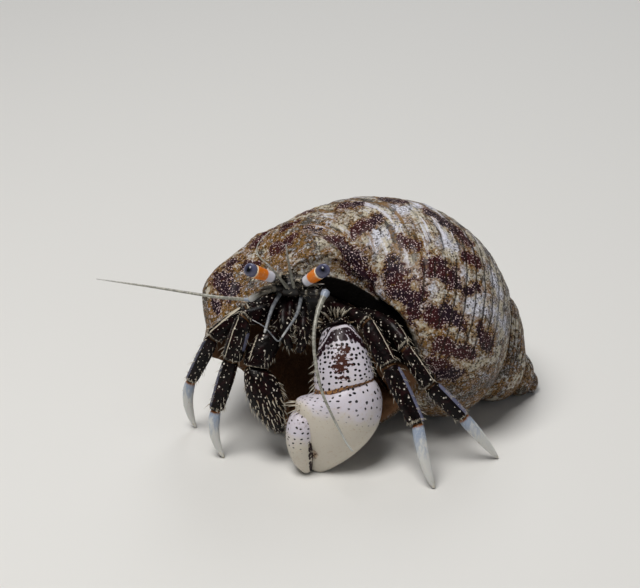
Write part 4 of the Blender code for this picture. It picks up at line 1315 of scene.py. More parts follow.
    def build(self) -> Item:
        """Models the shell from the end of its hollow, round the lip and out to the apex.

        Returns:
            The shell.
        """
        item = Bench.disc("shell_whorls", self.sides)
        turn = self.hollow_end
        self._shape(item, turn, self.hollow, self.inner_columella)
        turns, insides = [turn], [1.0]
        for _ in range(self.hollow_rings):
            turn -= self.hollow_end / self.hollow_rings
            self._wind(-self.hollow_end / self.hollow_rings)
            turns.append(turn)
            insides.append(1.0)
        columella = self.inner_columella
        for turn, size, inside in self.lip:
            bpy.ops.mesh.extrude_region_move(TRANSFORM_OT_translate={"value": (0, 0, 0)})
            columella += (self._wall(0.0) - self.inner_columella) / len(self.lip)
            self._shape(item, turn, size, columella)
            turns.append(turn)
            insides.append(inside)
        while turn < self.turns:
            step = self.step if turn < self.spire_start else self.spire_step
            self._wind(step)
            turn += step
            if turn < self.pad_end + step:
                self._shape(item, turn, 1.0, self._wall(turn))
            turns.append(turn)
            insides.append(0.0)
        bpy.ops.mesh.select_all(action="SELECT")
        bpy.ops.mesh.normals_make_consistent(inside=False)
        Bench.clear()
        Bench.relist(item)
        Skin.paint(item, turn=np.repeat(turns, self.sides), inside=np.repeat(insides, self.sides))
        Skin.paint_rings(item, len(turns), self.sides)
        Bench.smooth(item)
        self._drop_lip(item)
        self._shade_mouth(item)
        self._carve(item)
        self._mark(item)
        return settle(item, self.finish.material(), Slot.SHELL, "shell")

    def _drop_lip(self, item: Item) -> None:
        """Draws the front of the lip out and down, pushes the pad of callus and adds the bulges."""
        turn, around = Skin.read(item, "turn"), Skin.around(item)
        drop = np.maximum(0.0, np.cos(around - self.lip_angle)) ** 2
        drop = drop * np.clip(1 - turn / self.lip_reach, 0.0, 1.2) * MM
        places = Skin.points(item) + np.outer(drop, np.array(self.lip_drop))
        spread = np.degrees(np.abs((around % (2 * math.pi)) - self.pad_angle))
        pad = ease(spread, 62.0, 30.0) * ease(np.abs(turn), self.pad_end + 0.04, 0.16)
        places += np.outer(pad * MM, np.array(self.pad_push))
        Skin.place(item, places + sum(bulge.move(places) for bulge in self.bulges))

    def _shade_mouth(self, item: Item) -> None:
        """Hollows the wall over the crab's back and paints it, and the lip's underside, with the inside's
        colour as painted shade.
        """
        places, turn, inside = Skin.points(item), Skin.read(item, "turn"), Skin.read(item, "inside")
        x, _, z = np.array(at(self.shade_centre)) / MM
        beside, over = places[:, 0] / MM - x, places[:, 2] / MM - z
        dent, middle, width = self.shade_dent
        radius = self.shade_radius - dent * np.exp(-((np.arctan2(over, beside) - middle) / width) ** 2)
        within = ease(np.hypot(beside, over), radius + 0.3, radius - 1.1)
        within = within * ease(turn, 0.36, 0.42) * ease(turn, 1.7, 1.5) * (places[:, 1] < 0.002)
        places[:, 1] += within * self.shade_depth * MM
        across, back, up = ((places - np.array(at(self.brow))) / MM).T
        below = up + self.brow_slope * back + self.brow_bend * across ** 2
        lip = ease(below, 0.3, -0.3) * ease(across, -1.5, 0.5) * ease(across, 10.5, 9.5)
        lip = lip * ease(turn, 0.3, 0.2) * (up > -9)
        Skin.place(item, places)
        # Painted shade: the hollowed wall and the lip's underside take the inside's colour
        Skin.paint(item, inside=np.maximum(np.maximum(inside, within), lip))

    def _carve(self, item: Item) -> None:
        """Carves the spiral cords, growth lines and wear."""
        places, turn = Skin.points(item), Skin.read(item, "turn")
        size = self.growth ** (-0.75 * turn)
        lumps, wear = Skin.cloud(places, self.lump_grain), Skin.cloud(places, self.wear_grain, 4)
        cords = np.sin(Skin.around(item) * self.finish.cords + lumps * 1.5)
        lines = np.sin(turn * 2 * math.pi * self.lines_a_turn + Skin.cloud(places, self.line_grain) * 5)
        cord, line, lump, worn, sunk = self.relief
        heights = cord * cords + line * lines * (lumps > -0.2) + lump * lumps + worn * wear - sunk
        Skin.swell(item, heights * size * (1 - Skin.read(item, "inside")))

    def _mark(self, item: Item) -> None:
        """Paints where the blotches, the brown field and the threads lie, and the painted shade deep in the
        mouth.
        """
        places, normals, turn = Skin.points(item), Skin.normals(item), Skin.read(item, "turn")
        draw = np.random.default_rng(SEED)
        marks, clear = (sum((mark.strokes() for mark in kind), []) for kind in (self.blotches, self.bare))
        behind = np.flatnonzero((normals[:, 1] > 0.15) & (turn < 2.2) & (Skin.read(item, "inside") < 0.1))
        for k in draw.choice(behind, self.hidden_blotches):
            root = Vector(places[k])
            lean = Vector((draw.uniform(-1, 1), draw.uniform(-0.5, 0.5), draw.uniform(-1, 1)))
            size = draw.uniform(*self.hidden_radii) * self.growth ** (-0.5 * turn[k])
            marks.append((root, root + lean * (self.hidden_reach * MM), size))
        x, _, z = places.T / MM
        up = normals[:, 2]
        # Browner towards the bottom, towards the left and round the hump
        stain = 0.85 * ease(z, 17.0, 7.0) + 0.7 * ease(x, -4.0, -12.0)
        stain = stain + ease(Skin.away(places, self.hump), 8.5, 3.0)
        # Painted shade: darker deep in the hollow towards its roof, and high on the lip
        deep = np.maximum(ease(turn, 0.1, 0.36) * ease(z, 9.0, 15.0),
                          ease(z, 17.0, 20.0) * ease(turn, -0.1, 0.02))
        Skin.paint(item, blotch=self._reach(places, marks), bare=self._reach(places, clear), deep=deep,
                   stain=np.clip(stain, 0.0, 1.0),
                   high=ease(up, 0.45, 0.9) * ease(z, 24.0, 28.0) * ease(x, -6.0, 2.0),
                   threads=0.25 + 0.75 * (ease(x, 10.0, 22.0) * ease(up, -0.2, 0.4)))

    @staticmethod
    def _reach(places: np.ndarray, marks: Sequence[tuple[Vector, Vector, float]]) -> np.ndarray:
        """How deep each place lies in the strokes: 1 on their lines, 0 on their edges and less outside."""
        reach = np.full(len(places), -1.5)
        for start, end, radius in marks:
            way = np.array(end - start)
            share = np.clip((places - np.array(start)) @ way / max(way @ way, 1e-12), 0.0, 1.0)
            near = np.linalg.norm(places - np.array(start) - share[:, None] * way, axis=1)
            reach = np.maximum(reach, 1 - near / (radius * MM))
        return reach


# The body


@dataclass
class SoftBody:
    """The head shield, the thorax and the soft abdomen that lies in the shell, under one skin."""

    shell: TurbanShell
    coat: Coat
    thorax: tuple = (((-3.1, -15.6, 19.9), 2.4, 2.4), ((-3.1, -15.2, 19.9), 4.6, 4.4),
                     ((-2.8, -14.4, 19.6), 7.4, 6.6), ((-2.2, -12.6, 18.8), 10.4, 9.2),
                     ((-1.4, -9.5, 17.6), 11.8, 10.4), ((-0.8, -6.0, 16.4), 11.8, 10.8))
    head: tuple = (((-3.3, -8.6, 21.8), 5.0, 4.0), ((-3.6, -9.8, 23.0), 5.0, 2.8),
                   ((-3.8, -12.4, 23.6), 6.2, 3.0), ((-4.0, -14.6, 24.2), 6.0, 3.4),
                   ((-4.1, -16.2, 24.5), 4.8, 3.1), ((-4.1, -17.0, 24.4), 2.8, 1.9),
                   ((-4.1, -17.2, 24.3), 1.2, 0.8))
    hidden_turns: tuple = (0.12, 0.16, 0.2, 0.25, 0.3, 0.35)
    girth: float = 1.42
    end: float = 0.3
    voxel: float = 0.28
    sides: int = 20

    def _upright(self, rows: Sequence[tuple]) -> Rings:
        """Rings that stand square to the crab's length."""
        ahead, up = Vector((0.0, 1.0, 0.0)), Vector((0.0, 0.0, 1.0))
        return [Station(at(centre), ahead, width * MM, height * MM, i / len(rows), up)
                for i, (centre, width, height) in enumerate(rows)]

    def build(self) -> Item:
        """Models the trunk and the head, joins them under one skin and shapes its surface.

        Returns:
            The skin.
        """
        stations = self._upright(self.thorax)
        for turn in self.hidden_turns:
            centre, ahead, reach = self.shell.centre(turn)
            size = reach * self.girth * (self.end if turn == self.hidden_turns[-1] else 1.0)
            stations.append(Station(centre, ahead, size, size, 1.0 + turn, Vector((0.0, 0.0, 1.0))))
        trunk = Bench.sweep("body_skin", stations, self.sides)
        head = Bench.sweep("head_skin", self._upright(tuple(reversed(self.head))), self.sides)
        skin = Bench.join("body_skin", (trunk, head))
        Bench.finish(skin, "REMESH", mode="VOXEL", voxel_size=self.voxel * MM)
        Bench.finish(skin, "SMOOTH", factor=0.6, iterations=6)
        Bench.smooth(skin, 0)
        Skin.swell(skin, 0.12 * Skin.cloud(Skin.points(skin), 1.4) - 0.1)
        x, y, z = (Skin.points(skin) / MM + np.array(ORIGIN_SHIFT)).T
        Skin.paint(skin, along=ease(y, -8.0, -18.0), across=np.cos(x), under=np.sin(z),
                   soft=ease(y, -12.0, -8.0))
        ahead = Vector((0.0, -1.0, 0.0))
        lie = [Station(Vector(), ahead, 1.0, 1.0, 0.0), Station(Vector(), ahead, 1.0, 1.0, 1.0)]
        self.coat.grow(skin, lie, (
            Growth(60, (0.3, 1.0), 35, 0.08, (0.45, 1.1), (0.0, -1.0, 0.3), 0.2, 0.5),))
        return settle(skin, FleshFinish().material(), Slot.FLESH, "head", "thorax", "abdomen")


# Limbs


class Side(Enum):
    """The crab's own sides."""

    LEFT = 1
    RIGHT = -1

    def label(self) -> str:
        """The side's name as it stands in a piece's name."""
        return self.name.lower()


# Profiles: a share of the length and a width, as a factor for the legs and jaws and else in millimetres

MERUS = ((-0.12, 0.7), (0.04, 0.9), (0.3, 1.05), (0.62, 1.03), (0.86, 0.97), (0.94, 1.0), (0.975, 0.95),
         (0.99, 0.72))
CARPUS = ((0.01, 0.6), (0.035, 0.78), (0.08, 0.92), (0.3, 1.03), (0.62, 1.09), (0.86, 1.05), (0.94, 1.05),
          (0.972, 0.97), (0.985, 0.74))
PROPODUS = ((0.01, 0.62), (0.03, 0.82), (0.07, 0.97), (0.22, 1.08), (0.55, 1.07), (0.82, 0.95), (0.93, 0.93),
            (0.975, 0.88), (0.99, 0.66), (1.0, 0.3))
DACTYL = ((-0.03, 0.35), (-0.01, 0.66), (0.02, 0.86), (0.05, 0.95), (0.14, 1.02), (0.28, 1.02), (0.45, 0.95),
          (0.62, 0.82), (0.78, 0.64), (0.9, 0.45), (0.96, 0.31), (0.99, 0.15))
BIG_ARM = ((-0.1, 3.0), (0.0, 3.4), (0.25, 4.0), (0.5, 4.4), (0.8, 4.6), (0.93, 4.5), (0.98, 4.1),
           (0.995, 3.2))
BIG_WRIST = ((-0.01, 3.2), (0.005, 4.1), (0.03, 4.6), (0.06, 4.8), (0.1, 5.2), (0.17, 5.8), (0.28, 6.5),
             (0.42, 7.1), (0.6, 7.9), (0.78, 8.4), (0.9, 8.6), (0.97, 8.5), (1.0, 8.1), (1.005, 7.0))
BIG_PALM = ((-0.06, 5.6), (-0.03, 7.6), (0.02, 9.4), (0.08, 10.9), (0.16, 12.0), (0.27, 12.5), (0.38, 12.0),
            (0.5, 10.8), (0.62, 9.2), (0.74, 7.2), (0.85, 5.0), (0.93, 3.3), (0.975, 2.2), (0.99, 1.3))
BIG_FINGER = ((-0.04, 2.0), (0.0, 3.0), (0.08, 3.6), (0.2, 4.0), (0.38, 4.1), (0.55, 3.85), (0.72, 3.2),
              (0.86, 2.3), (0.95, 1.5), (0.985, 0.7))
SMALL_ARM = ((-0.1, 2.2), (0.05, 2.6), (0.5, 3.0), (0.9, 2.9), (0.97, 2.7), (0.99, 2.1))
SMALL_WRIST = ((0.01, 1.9), (0.04, 2.6), (0.12, 3.3), (0.35, 3.95), (0.65, 4.1), (0.88, 3.8), (0.95, 3.6),
               (0.975, 3.2), (0.99, 2.4))
SMALL_PALM = ((0.005, 2.2), (0.02, 3.0), (0.06, 3.7), (0.15, 4.5), (0.3, 5.0), (0.45, 4.95), (0.62, 4.3),
              (0.78, 3.2), (0.9, 2.0), (0.97, 1.3), (0.995, 0.7))
SMALL_FINGER = ((-0.04, 0.8), (0.02, 1.2), (0.3, 1.9), (0.6, 1.8), (0.85, 1.2), (0.97, 0.6), (0.99, 0.3))
STALK = ((-0.1, 1.0), (0.02, 1.25), (0.25, 1.45), (0.5, 1.55), (0.75, 1.72), (0.93, 1.88), (1.0, 1.9),
         (1.02, 1.5))
CORNEA = ((0.0, 1.5), (0.03, 1.72), (0.1, 1.8), (0.23, 1.87), (0.4, 1.9), (0.58, 1.86), (0.74, 1.7),
          (0.87, 1.36), (0.95, 0.92), (0.99, 0.45))
EYE_SCALE = ((0.0, 0.7), (0.15, 1.1), (0.45, 1.15), (0.75, 0.75), (0.93, 0.36), (1.0, 0.12))
ANTENNA_BASE = ((-0.08, 0.7), (0.02, 1.0), (0.12, 1.15), (0.28, 1.18), (0.34, 1.05), (0.36, 0.8),
                (0.39, 0.92), (0.46, 1.1), (0.62, 1.06), (0.68, 0.96), (0.7, 0.72), (0.73, 0.8),
                (0.82, 0.95), (0.94, 0.95), (0.985, 0.86), (1.0, 0.6))
ANTENNA_SPINE = ((0.0, 0.4), (0.15, 0.6), (0.5, 0.5), (0.85, 0.28), (1.0, 0.1))
JAW = ((-0.08, 0.6), (0.0, 0.75), (0.1, 0.95), (0.26, 1.02), (0.31, 0.8), (0.34, 0.95), (0.48, 1.02),
       (0.56, 0.96), (0.6, 0.74), (0.63, 0.88), (0.74, 0.9), (0.8, 0.8), (0.83, 0.62), (0.86, 0.7),
       (0.94, 0.6), (1.0, 0.3))


@dataclass
class WalkingLeg:
    """A walking leg of three dark segments and a pale horny tip."""

    name: str
    side: Side
    joints: tuple[Point, ...]
    widths: tuple[float, float, float, float]
    bow: Point = (0.0, 0.0, 0.0)
    sides: int = 20
    depth: float = 0.85

    def spans(self) -> list[Span]:
        """The four stretches of the leg."""
        hip, knee, wrist, heel, bend, tip = self.joints
        planes = (None, joint_plane(hip, knee, wrist), joint_plane(knee, wrist, heel),
                  joint_plane(wrist, heel, bend), Vector((0.0, 0.0, -1.0)))
        lines = ((hip, middle_of(hip, knee, self.bow), knee), (knee, middle_of(knee, wrist), wrist),
                 (wrist, middle_of(wrist, heel), heel), (heel, bend, tip))
        shapes = (MERUS, CARPUS, PROPODUS, DACTYL)
        return [Span(*lines[i], scaled(shapes[i], self.widths[i]), self.depth, planes[i], planes[i + 1])
                for i in range(4)]

    def build(self, cuticle: Material, porcelain: Material, coat: Coat) -> None:
        """Models, paints and dresses the leg.

        Args:
            cuticle: The dark segments' finish.
            porcelain: The tip's finish.
            coat: The coat that its bristles join.
        """
        merus, carpus, propodus, dactyl = self.spans()
        rings = merus.stations() + carpus.stations(1.0) + propodus.stations(2.0)
        skin = Bench.sweep(f"{self.name}_segments", rings, self.sides)
        self._paint(skin)
        outward, inward = (self.side.value * 1.0, -0.2, 0.2), (self.side.value * -1.0, -0.5, 0.0)
        coat.grow(skin, rings, (
            Growth(150, (0.1, 0.28), 35, 0.13, (0.2, 2.97), None, 0.3, 0.6),
            Growth(12, (0.5, 1.2), 45, 0.08, (0.55, 2.97), outward, 0.75, 0.7),
            Growth(20, (0.4, 1.1), 45, 0.07, (1.2, 2.97), inward, 0.6, 0.5),
            Growth(5, (0.6, 1.1), 45, 0.08, (0.88, 0.97), None, 0.0, 0.4),
            Growth(6, (0.6, 1.1), 45, 0.08, (1.9, 1.97), None, 0.0, 0.4),
            Growth(14, (0.4, 0.8), 45, 0.08, (2.9, 2.98), None, 0.0, 0.3)))
        settle(skin, cuticle, Slot.DARK, *(f"{self.name}_{part}" for part in ("merus", "carpus", "propodus")))
        rings = dactyl.stations()
        claw = Bench.sweep(f"{self.name}_tip", rings, self.sides)
        Skin.stand(claw)
        coat.grow(claw, rings, (Growth(10, (0.15, 0.4), 60, 0.06, (0.05, 0.6), None, 0.0, 0.4),))
        settle(claw, porcelain, Slot.TIP, f"{self.name}_dactyl")

    def _paint(self, skin: Item) -> None:
        """Paints the stripe, the pale edges and the joints, and roughens the cuticle."""
        along = Skin.read(skin, "along")
        share = along % 1.0
        outer = Skin.facing(skin, (self.side.value * 0.95, -0.15, 0.35))
        stripe = ease(outer, 0.68, 0.86) * ease(along, 2.02, 2.12)
        if self.side is Side.RIGHT:
            inner = ease(Skin.facing(skin, (0.95, -0.3, 0.1)), 0.7, 0.9)
            stripe = np.maximum(stripe * 0.5, inner * ease(along, 1.2, 1.3) * ease(along, 1.75, 1.65))
        rim = ease(share, 0.9, 0.94) * ease(share, 0.985, 0.965)
        ridge = ease(np.abs(outer - 0.8), 0.07, 0.03) * ease(along, 0.1, 0.3) * ease(along, 2.0, 1.9)
        hinge = np.maximum(ease(share, 0.975, 0.995), ease(share, 0.045, 0.01))
        Skin.paint(skin, stripe=stripe, edge=np.maximum(rim * 0.6, ridge * 0.85),
                   hinge=hinge * ease(along, 0.5, 0.9))
        Skin.swell(skin, 0.04 * Skin.cloud(Skin.points(skin), 0.7))


@dataclass
class BigClaw:
    """The big left claw: a spiny merus, a dotted wrist, an ivory palm and its moving finger."""

    coat: Coat
    root: Point = (1.0, -13.2, 19.4)
    wrist: Point = (2.3, -18.3, 19.0)
    palm_root: Point = (3.4, -22.2, 12.1)
    palm_tip: Point = (-0.8, -25.2, -0.1)
    finger_root: Point = (-2.5, -24.8, 8.9)
    finger_tip: Point = (-1.6, -25.6, -0.1)
    lobe: Point = (1.2, -26.2, 10.6)
    lobe_reach: float = 2.4
    gap: Point = (-1.3, -27.0, 3.4)
    slant: Point = (0.34, 0.0, 0.0)
    wrist_bow: Point = (0.3, -0.4, 0.2)
    palm_bow: Point = (0.4, -0.3, 0.0)
    finger_bow: Point = (-0.7, -0.2, 0.0)
    rust_spots: tuple = (((2.8, -22.0, 18.0), 1.5), ((3.1, -22.0, 16.9), 1.6), ((2.6, -22.2, 16.2), 1.2),
                         ((3.3, -22.5, 14.9), 0.9))

    def build(self) -> None:
        """Models and dresses the four parts."""
        across = joint_plane(self.root, self.wrist, self.palm_root)
        hinge = (joint_plane(self.wrist, self.palm_root, self.palm_tip) + Vector(self.slant)).normalized()
        self._merus(Span(self.root, middle_of(self.root, self.wrist), self.wrist, BIG_ARM, 0.9,
                         last=across, turn_share=0.6))
        self._carpus(Span(self.wrist, middle_of(self.wrist, self.palm_root, self.wrist_bow), self.palm_root,
                          BIG_WRIST, 0.8, across, hinge))
        self._palm(Span(self.palm_root, middle_of(self.palm_root, self.palm_tip, self.palm_bow),
                        self.palm_tip, BIG_PALM, 0.68, hinge))
        self._finger(Span(self.finger_root, middle_of(self.finger_root, self.finger_tip, self.finger_bow),
                          self.finger_tip, BIG_FINGER, 1.2))

    def _rows(self, item: Item, stations: Rings) -> None:
        """Unrolls a part into a map in millimetres, for its rows of dots."""
        along = Skin.read(item, "along")
        keys = [station.along for station in stations]
        steps = [(b.centre - a.centre).length for a, b in zip(stations, stations[1:])]
        widths = np.interp(along, keys, [station.width for station in stations]) / MM / 2
        down = np.interp(along, keys, np.concatenate(([0.0], np.cumsum(steps)))) / MM
        loops = Skin.numbers(item.data.loops, "vertex_index")
        turn = np.arctan2(Skin.read(item, "across"), -Skin.read(item, "under"))[loops]
        start, total = (Skin.numbers(item.data.polygons, f"loop_{name}") for name in ("start", "total"))
        first = np.repeat(turn[start], total)
        turn = turn + 2 * math.pi * np.round((first - turn) / (2 * math.pi))
        Skin.chart(item, "rows", np.stack((turn * widths.mean() * 0.9, down[loops]), axis=1))

    def _merus(self, span: Span) -> None:
        """The dark merus and the fan of spines round its end."""
        rings = span.stations()
        item = Bench.sweep("claw_left_arm", rings, 24)
        along = Skin.read(item, "along")
        Skin.paint(item, stripe=0.0, edge=0.45 * ease(along, 0.5, 0.9), hinge=ease(along, 0.985, 0.995) * 0.5)
        Skin.swell(item, 0.05 * Skin.cloud(Skin.points(item), 0.8) * ease(along, 1.0, 0.9))
        self.coat.grow(item, rings, (
            Growth(13, (1.4, 2.0), 12, 0.3, (0.6, 0.85), (0.0, 0.3, 1.0), 0.3, 0.3, 0.03),
            Growth(9, (1.3, 1.8), 14, 0.28, (0.6, 0.95), (-1.0, 0.1, 0.5), 0.5, 0.3, 0.03),
            Growth(9, (1.3, 1.8), 14, 0.28, (0.6, 0.95), (1.0, 0.1, 0.6), 0.5, 0.3, 0.03),
            Growth(60, (0.12, 0.3), 40, 0.2, (0.5, 0.97), (0.0, -0.3, 1.0), -0.2, 0.4, 0.1)))
        settle(item, CuticleFinish("claw_cuticle").material(), Slot.DARK, "claw_left_merus")

    def _carpus(self, span: Span) -> None:
        """The dotted wrist with its collar and the lobe over the palm."""
        rings = span.stations()
        item = Bench.sweep("claw_left_wrist", rings, 32)
        along, places, normals = Skin.read(item, "along"), Skin.points(item), Skin.normals(item)
        near = Skin.away(places, self.lobe)
        pull = ease(near, self.lobe_reach * 1.6, 0.3) * ease(along, 0.72, 0.97)
        down = np.array(rings[-2].normal)
        Skin.place(item, places + np.outer(pull * 1.25 * MM, down) + normals * (pull * 0.3 * MM)[:, None])
        grain = Skin.cloud(Skin.points(item), 2.4)
        Skin.swell(item, 0.08 * grain)
        lift = along - 0.2 * ease(np.abs(normals[:, 0]), 0.35, 0.95)
        collar = ease(np.abs(lift - 0.055), 0.024, 0.014)
        dots = 0.28 + 0.05 * ease(lift, 0.5, 0.25) - 0.05 * ease(along, 0.6, 1.0)
        side = ease(np.abs(normals[:, 0]), 0.86, 0.99)
        dark = np.maximum(ease(lift, 0.36, 0.12) * ease(lift, -0.04, 0.02), side * 0.4)
        blots = np.zeros(len(places))
        for spot, size in self.rust_spots:
            away = (places / MM + np.array(ORIGIN_SHIFT) - np.array(spot)) * (0.6, 1.0, 1.3)
            blots = np.maximum(blots, ease(np.linalg.norm(away[:, [0, 2]], axis=1), size, size * 0.4))
        Skin.paint(item, cool=0.75 + 0.2 * grain, dots=dots * (1 - collar),
                   dark=np.where(collar > 0.3, -0.5, dark), rust=blots * ease(-normals[:, 1], 0.2, 0.5),
                   gold=np.maximum(ease(along, 0.915, 0.965), 0.7 * ease(near, 1.9, 0.8)))
        self._rows(item, rings)
        self.coat.grow(item, rings, (
            Growth(20, (0.7, 1.4), 35, 0.1, (0.35, 0.98), (-1.0, 0.1, 0.0), 0.8, 0.5),
            Growth(16, (0.5, 1.0), 40, 0.1, (0.3, 0.98), (1.0, 0.2, 0.1), 0.85, 0.5)))
        settle(item, DottedFinish("dotted_wrist").material(), Slot.IVORY, "claw_left_carpus")

    def _palm(self, span: Span) -> None:
        """The heart-shaped ivory palm."""
        rings = span.stations()
        item = Bench.sweep("claw_left_palm_plate", rings, 40)
        along, places, normals = Skin.read(item, "along"), Skin.points(item), Skin.normals(item)
        gap = Skin.away(places, self.gap)
        Skin.swell(item, 0.06 * Skin.cloud(places, 3.0) - 0.25 * ease(gap, 1.6, 0.4))
        Skin.stand(item)
        flank = ease(normals[:, 0], -0.8, -0.96) * ease(along, 0.4, 0.25)
        # Near the gap, the dark brown is painted shade in the slit between the fingers
        Skin.paint(item, cool=ease(along, 0.55, 0.05) * 0.8, dots=0.195 * ease(along, 0.62, 0.02), dark=0.0,
                   rust=0.9 * ease(gap, 1.3, 0.5),
                   gold=ease(along, 0.02, -0.01) + 0.6 * ease(gap, 1.6, 0.8) + 0.6 * flank)
        self._rows(item, rings)
        self.coat.grow(item, rings, (
            Growth(17, (1.5, 2.2), 14, 0.15, (0.02, 0.36), (-1.0, -0.1, 0.1), 0.82, 0.6, 0.06),
            Growth(6, (0.3, 0.6), 40, 0.08, (0.35, 0.6), (-1.0, -0.6, 0.0), 0.8, 0.4)))
        settle(item, DottedFinish("ivory_palm", spacing=0.78).material(), Slot.IVORY, "claw_left_palm")

    def _finger(self, span: Span) -> None:
        """The moving finger beside the palm's tip."""
        rings = span.stations()
        item = Bench.sweep("claw_left_finger_plate", rings, 28)
        along, inner = Skin.read(item, "along"), Skin.facing(item, (1.0, -0.35, 0.0))
        Skin.stand(item)
        Skin.paint(item, cool=ease(along, 0.7, 0.1) * 0.8, dots=0.18 * ease(along, 0.8, 0.3), rust=0.0,
                   dark=0.8 * ease(inner, 0.75, 0.95) * ease(along, 0.3, 0.45),
                   gold=0.42 * ease(along, 0.24, 0.1))
        self._rows(item, rings)
        self.coat.grow(item, rings, (
            Growth(9, (0.4, 0.9), 30, 0.09, (0.0, 0.5), (-1.0, 0.2, 0.0), 0.8, 0.5),
            Growth(16, (0.3, 0.6), 25, 0.09, (0.3, 0.6), (1.0, -0.5, 0.0), 0.8, 0.2)))
        settle(item, DottedFinish("ivory_finger", spacing=0.72).material(), Slot.IVORY, "claw_left_finger")


@dataclass
class SmallClaw:
    """The small right claw, nearly black under a dense coat of pale bristles."""

    coat: Coat
    root: Point = (-4.6, -14.6, 19.4)
    elbow: Point = (-6.2, -18.3, 18.5)
    wrist: Point = (-9.0, -20.9, 14.4)
    tip: Point = (-5.7, -23.2, 5.1)
    finger_root: Point = (-7.2, -22.9, 10.4)
    finger_tip: Point = (-5.3, -23.6, 5.4)
    knuckle: Point = (-8.2, -22.2, 9.8)

    def build(self, cuticle: Material) -> None:
        """Models and dresses the claw.

        Args:
            cuticle: The dark finish.
        """
        bend = joint_plane(self.root, self.elbow, self.wrist)
        flex = joint_plane(self.elbow, self.wrist, self.knuckle)
        arm = Span(self.root, middle_of(self.root, self.elbow), self.elbow, SMALL_ARM, 0.9, last=bend)
        wrist = Span(self.elbow, middle_of(self.elbow, self.wrist, (-0.5, -0.2, 0.2)), self.wrist,
                     SMALL_WRIST, 0.9, bend, flex)
        palm = Span(self.wrist, middle_of(self.wrist, self.tip, (-0.1, -0.4, 0.0)), self.tip,
                    SMALL_PALM, 0.8, flex)
        finger = Span(self.finger_root, middle_of(self.finger_root, self.finger_tip), self.finger_tip,
                      SMALL_FINGER, 1.2)
        front, outer = (0.3, -1.0, 0.0), (-1.0, -0.4, 0.0)
        rings = arm.stations() + wrist.stations(1.0)
        item = self._plain("claw_right_arm", rings, 24)
        self.coat.grow(item, rings, (
            Growth(90, (0.08, 0.2), 25, 0.13, (0.3, 1.97), None, 0.0, 0.6),
            Growth(14, (0.5, 1.1), 40, 0.07, (1.5, 1.97), (1.0, -0.4, 0.1), 0.4, 0.5),
            Growth(5, (0.5, 0.9), 40, 0.07, (1.1, 1.97), outer, 0.5, 0.6)))
        settle(item, cuticle, Slot.DARK, "claw_right_merus", "claw_right_carpus")
        rings = palm.stations()
        item = self._plain("claw_right_hand", rings, 28)
        self.coat.grow(item, rings, (
            Growth(46, (0.18, 0.5), 60, 0.16, (0.02, 0.6), front, -0.1, 0.6),
            Growth(44, (0.5, 1.1), 60, 0.16, (0.4, 0.96), front, -0.1, 0.6),
            Growth(24, (0.7, 1.4), 45, 0.08, (0.05, 0.95), (1.0, -0.1, 0.0), 0.5, 0.5),
            Growth(20, (0.5, 1.0), 45, 0.07, (0.05, 0.9), outer, 0.6, 0.5),
            Growth(30, (0.3, 0.7), 50, 0.08, (0.02, 0.96), (0.0, 1.0, 0.0), 0.2, 0.6)))
        settle(item, cuticle, Slot.DARK, "claw_right_palm")
        rings = finger.stations()
        item = self._plain("claw_right_thumb", rings, 20)
        self.coat.grow(item, rings, (Growth(26, (0.2, 0.6), 55, 0.12, (0.05, 0.97), front, -0.4, 0.45),))
        settle(item, cuticle, Slot.DARK, "claw_right_finger")

    @staticmethod
    def _plain(name: str, rings: Rings, sides: int) -> Item:
        """A dark part with its paint and grain."""
        item = Bench.sweep(name, rings, sides)
        along, outer = Skin.read(item, "along"), Skin.facing(item, (-0.95, -0.25, 0.3))
        share = along % 1.0
        rim = ease(share, 0.92, 0.95) * ease(share, 0.99, 0.975) * name.endswith("arm")
        ridge = ease(np.abs(outer - 0.82), 0.06, 0.02) * ease(along, 1.0, 1.1) * ease(along, 1.95, 1.85)
        Skin.paint(item, stripe=0.0, edge=np.maximum(rim * 0.6, ridge * 0.8),
                   hinge=ease(share, 0.978, 0.995) * ease(along, 2.0, 1.99))
        Skin.swell(item, 0.06 * Skin.cloud(Skin.points(item), 0.8))
        return item


# The head's parts


@dataclass
class Eye:
    """An eye: its banded stalk, its cornea and the small spiny scale at its root."""

    side: Side
    coat: Coat
    root: Point
    neck: Point
    tip: Point
    scale_root: Point
    scale_tip: Point
    look: Point
    lift: float = 0.28

    def build(self, cornea: Material, scale: Material) -> None:
        """Models and dresses the eye.

        Args:
            cornea: The cornea's finish.
            scale: The scale's finish.
        """
        label = self.side.label()
        ahead = (Vector(self.tip) - Vector(self.neck)).normalized()
        neck = tuple(Vector(self.neck) + ahead * self.lift)
        rings = Span(self.root, middle_of(self.root, neck), neck, STALK, 1.0, last=ahead).stations()
        item = Bench.sweep(f"eyestalk_{label}_shaft", rings, 24)
        self.coat.grow(item, rings, (
            Growth(24, (0.3, 0.8), 30, 0.09, (-0.1, 0.35), (0.0, -0.4, 1.0), -0.2, 0.15),))
        settle(item, StalkFinish().material(f"stalk_{label}"), Slot.STALK, f"eyestalk_{label}")
        end = tuple(Vector(self.tip) + ahead * 0.5)
        rings = Span(neck, middle_of(neck, end), end, CORNEA, 1.0).stations()
        item = Bench.sweep(f"eye_{label}_cornea", rings, 32)
        along = Skin.read(item, "along")
        Skin.paint(item, rim=ease(along, 0.1, 0.0) + 0.35 * ease(along, 0.8, 1.0),
                   spot=np.clip(Skin.facing(item, self.look), 0.0, 1.0) ** 2)
        settle(item, cornea, Slot.CORNEA, f"eye_{label}")
        middle = middle_of(self.scale_root, self.scale_tip, (0.0, 0.0, 0.15))
        rings = Span(self.scale_root, middle, self.scale_tip, EYE_SCALE, 0.45).stations()
        item = Bench.sweep(f"eye_scale_{label}", rings, 14)
        Skin.paint(item, stripe=0.0, hinge=0.0, edge=ease(Skin.read(item, "along"), 0.4, 0.9) * 0.8)
        self.coat.grow(item, rings, (Growth(18, (0.3, 0.7), 45, 0.09, (0.2, 1.0), None, 0.0, 0.12),))
        settle(item, scale, Slot.DARK)


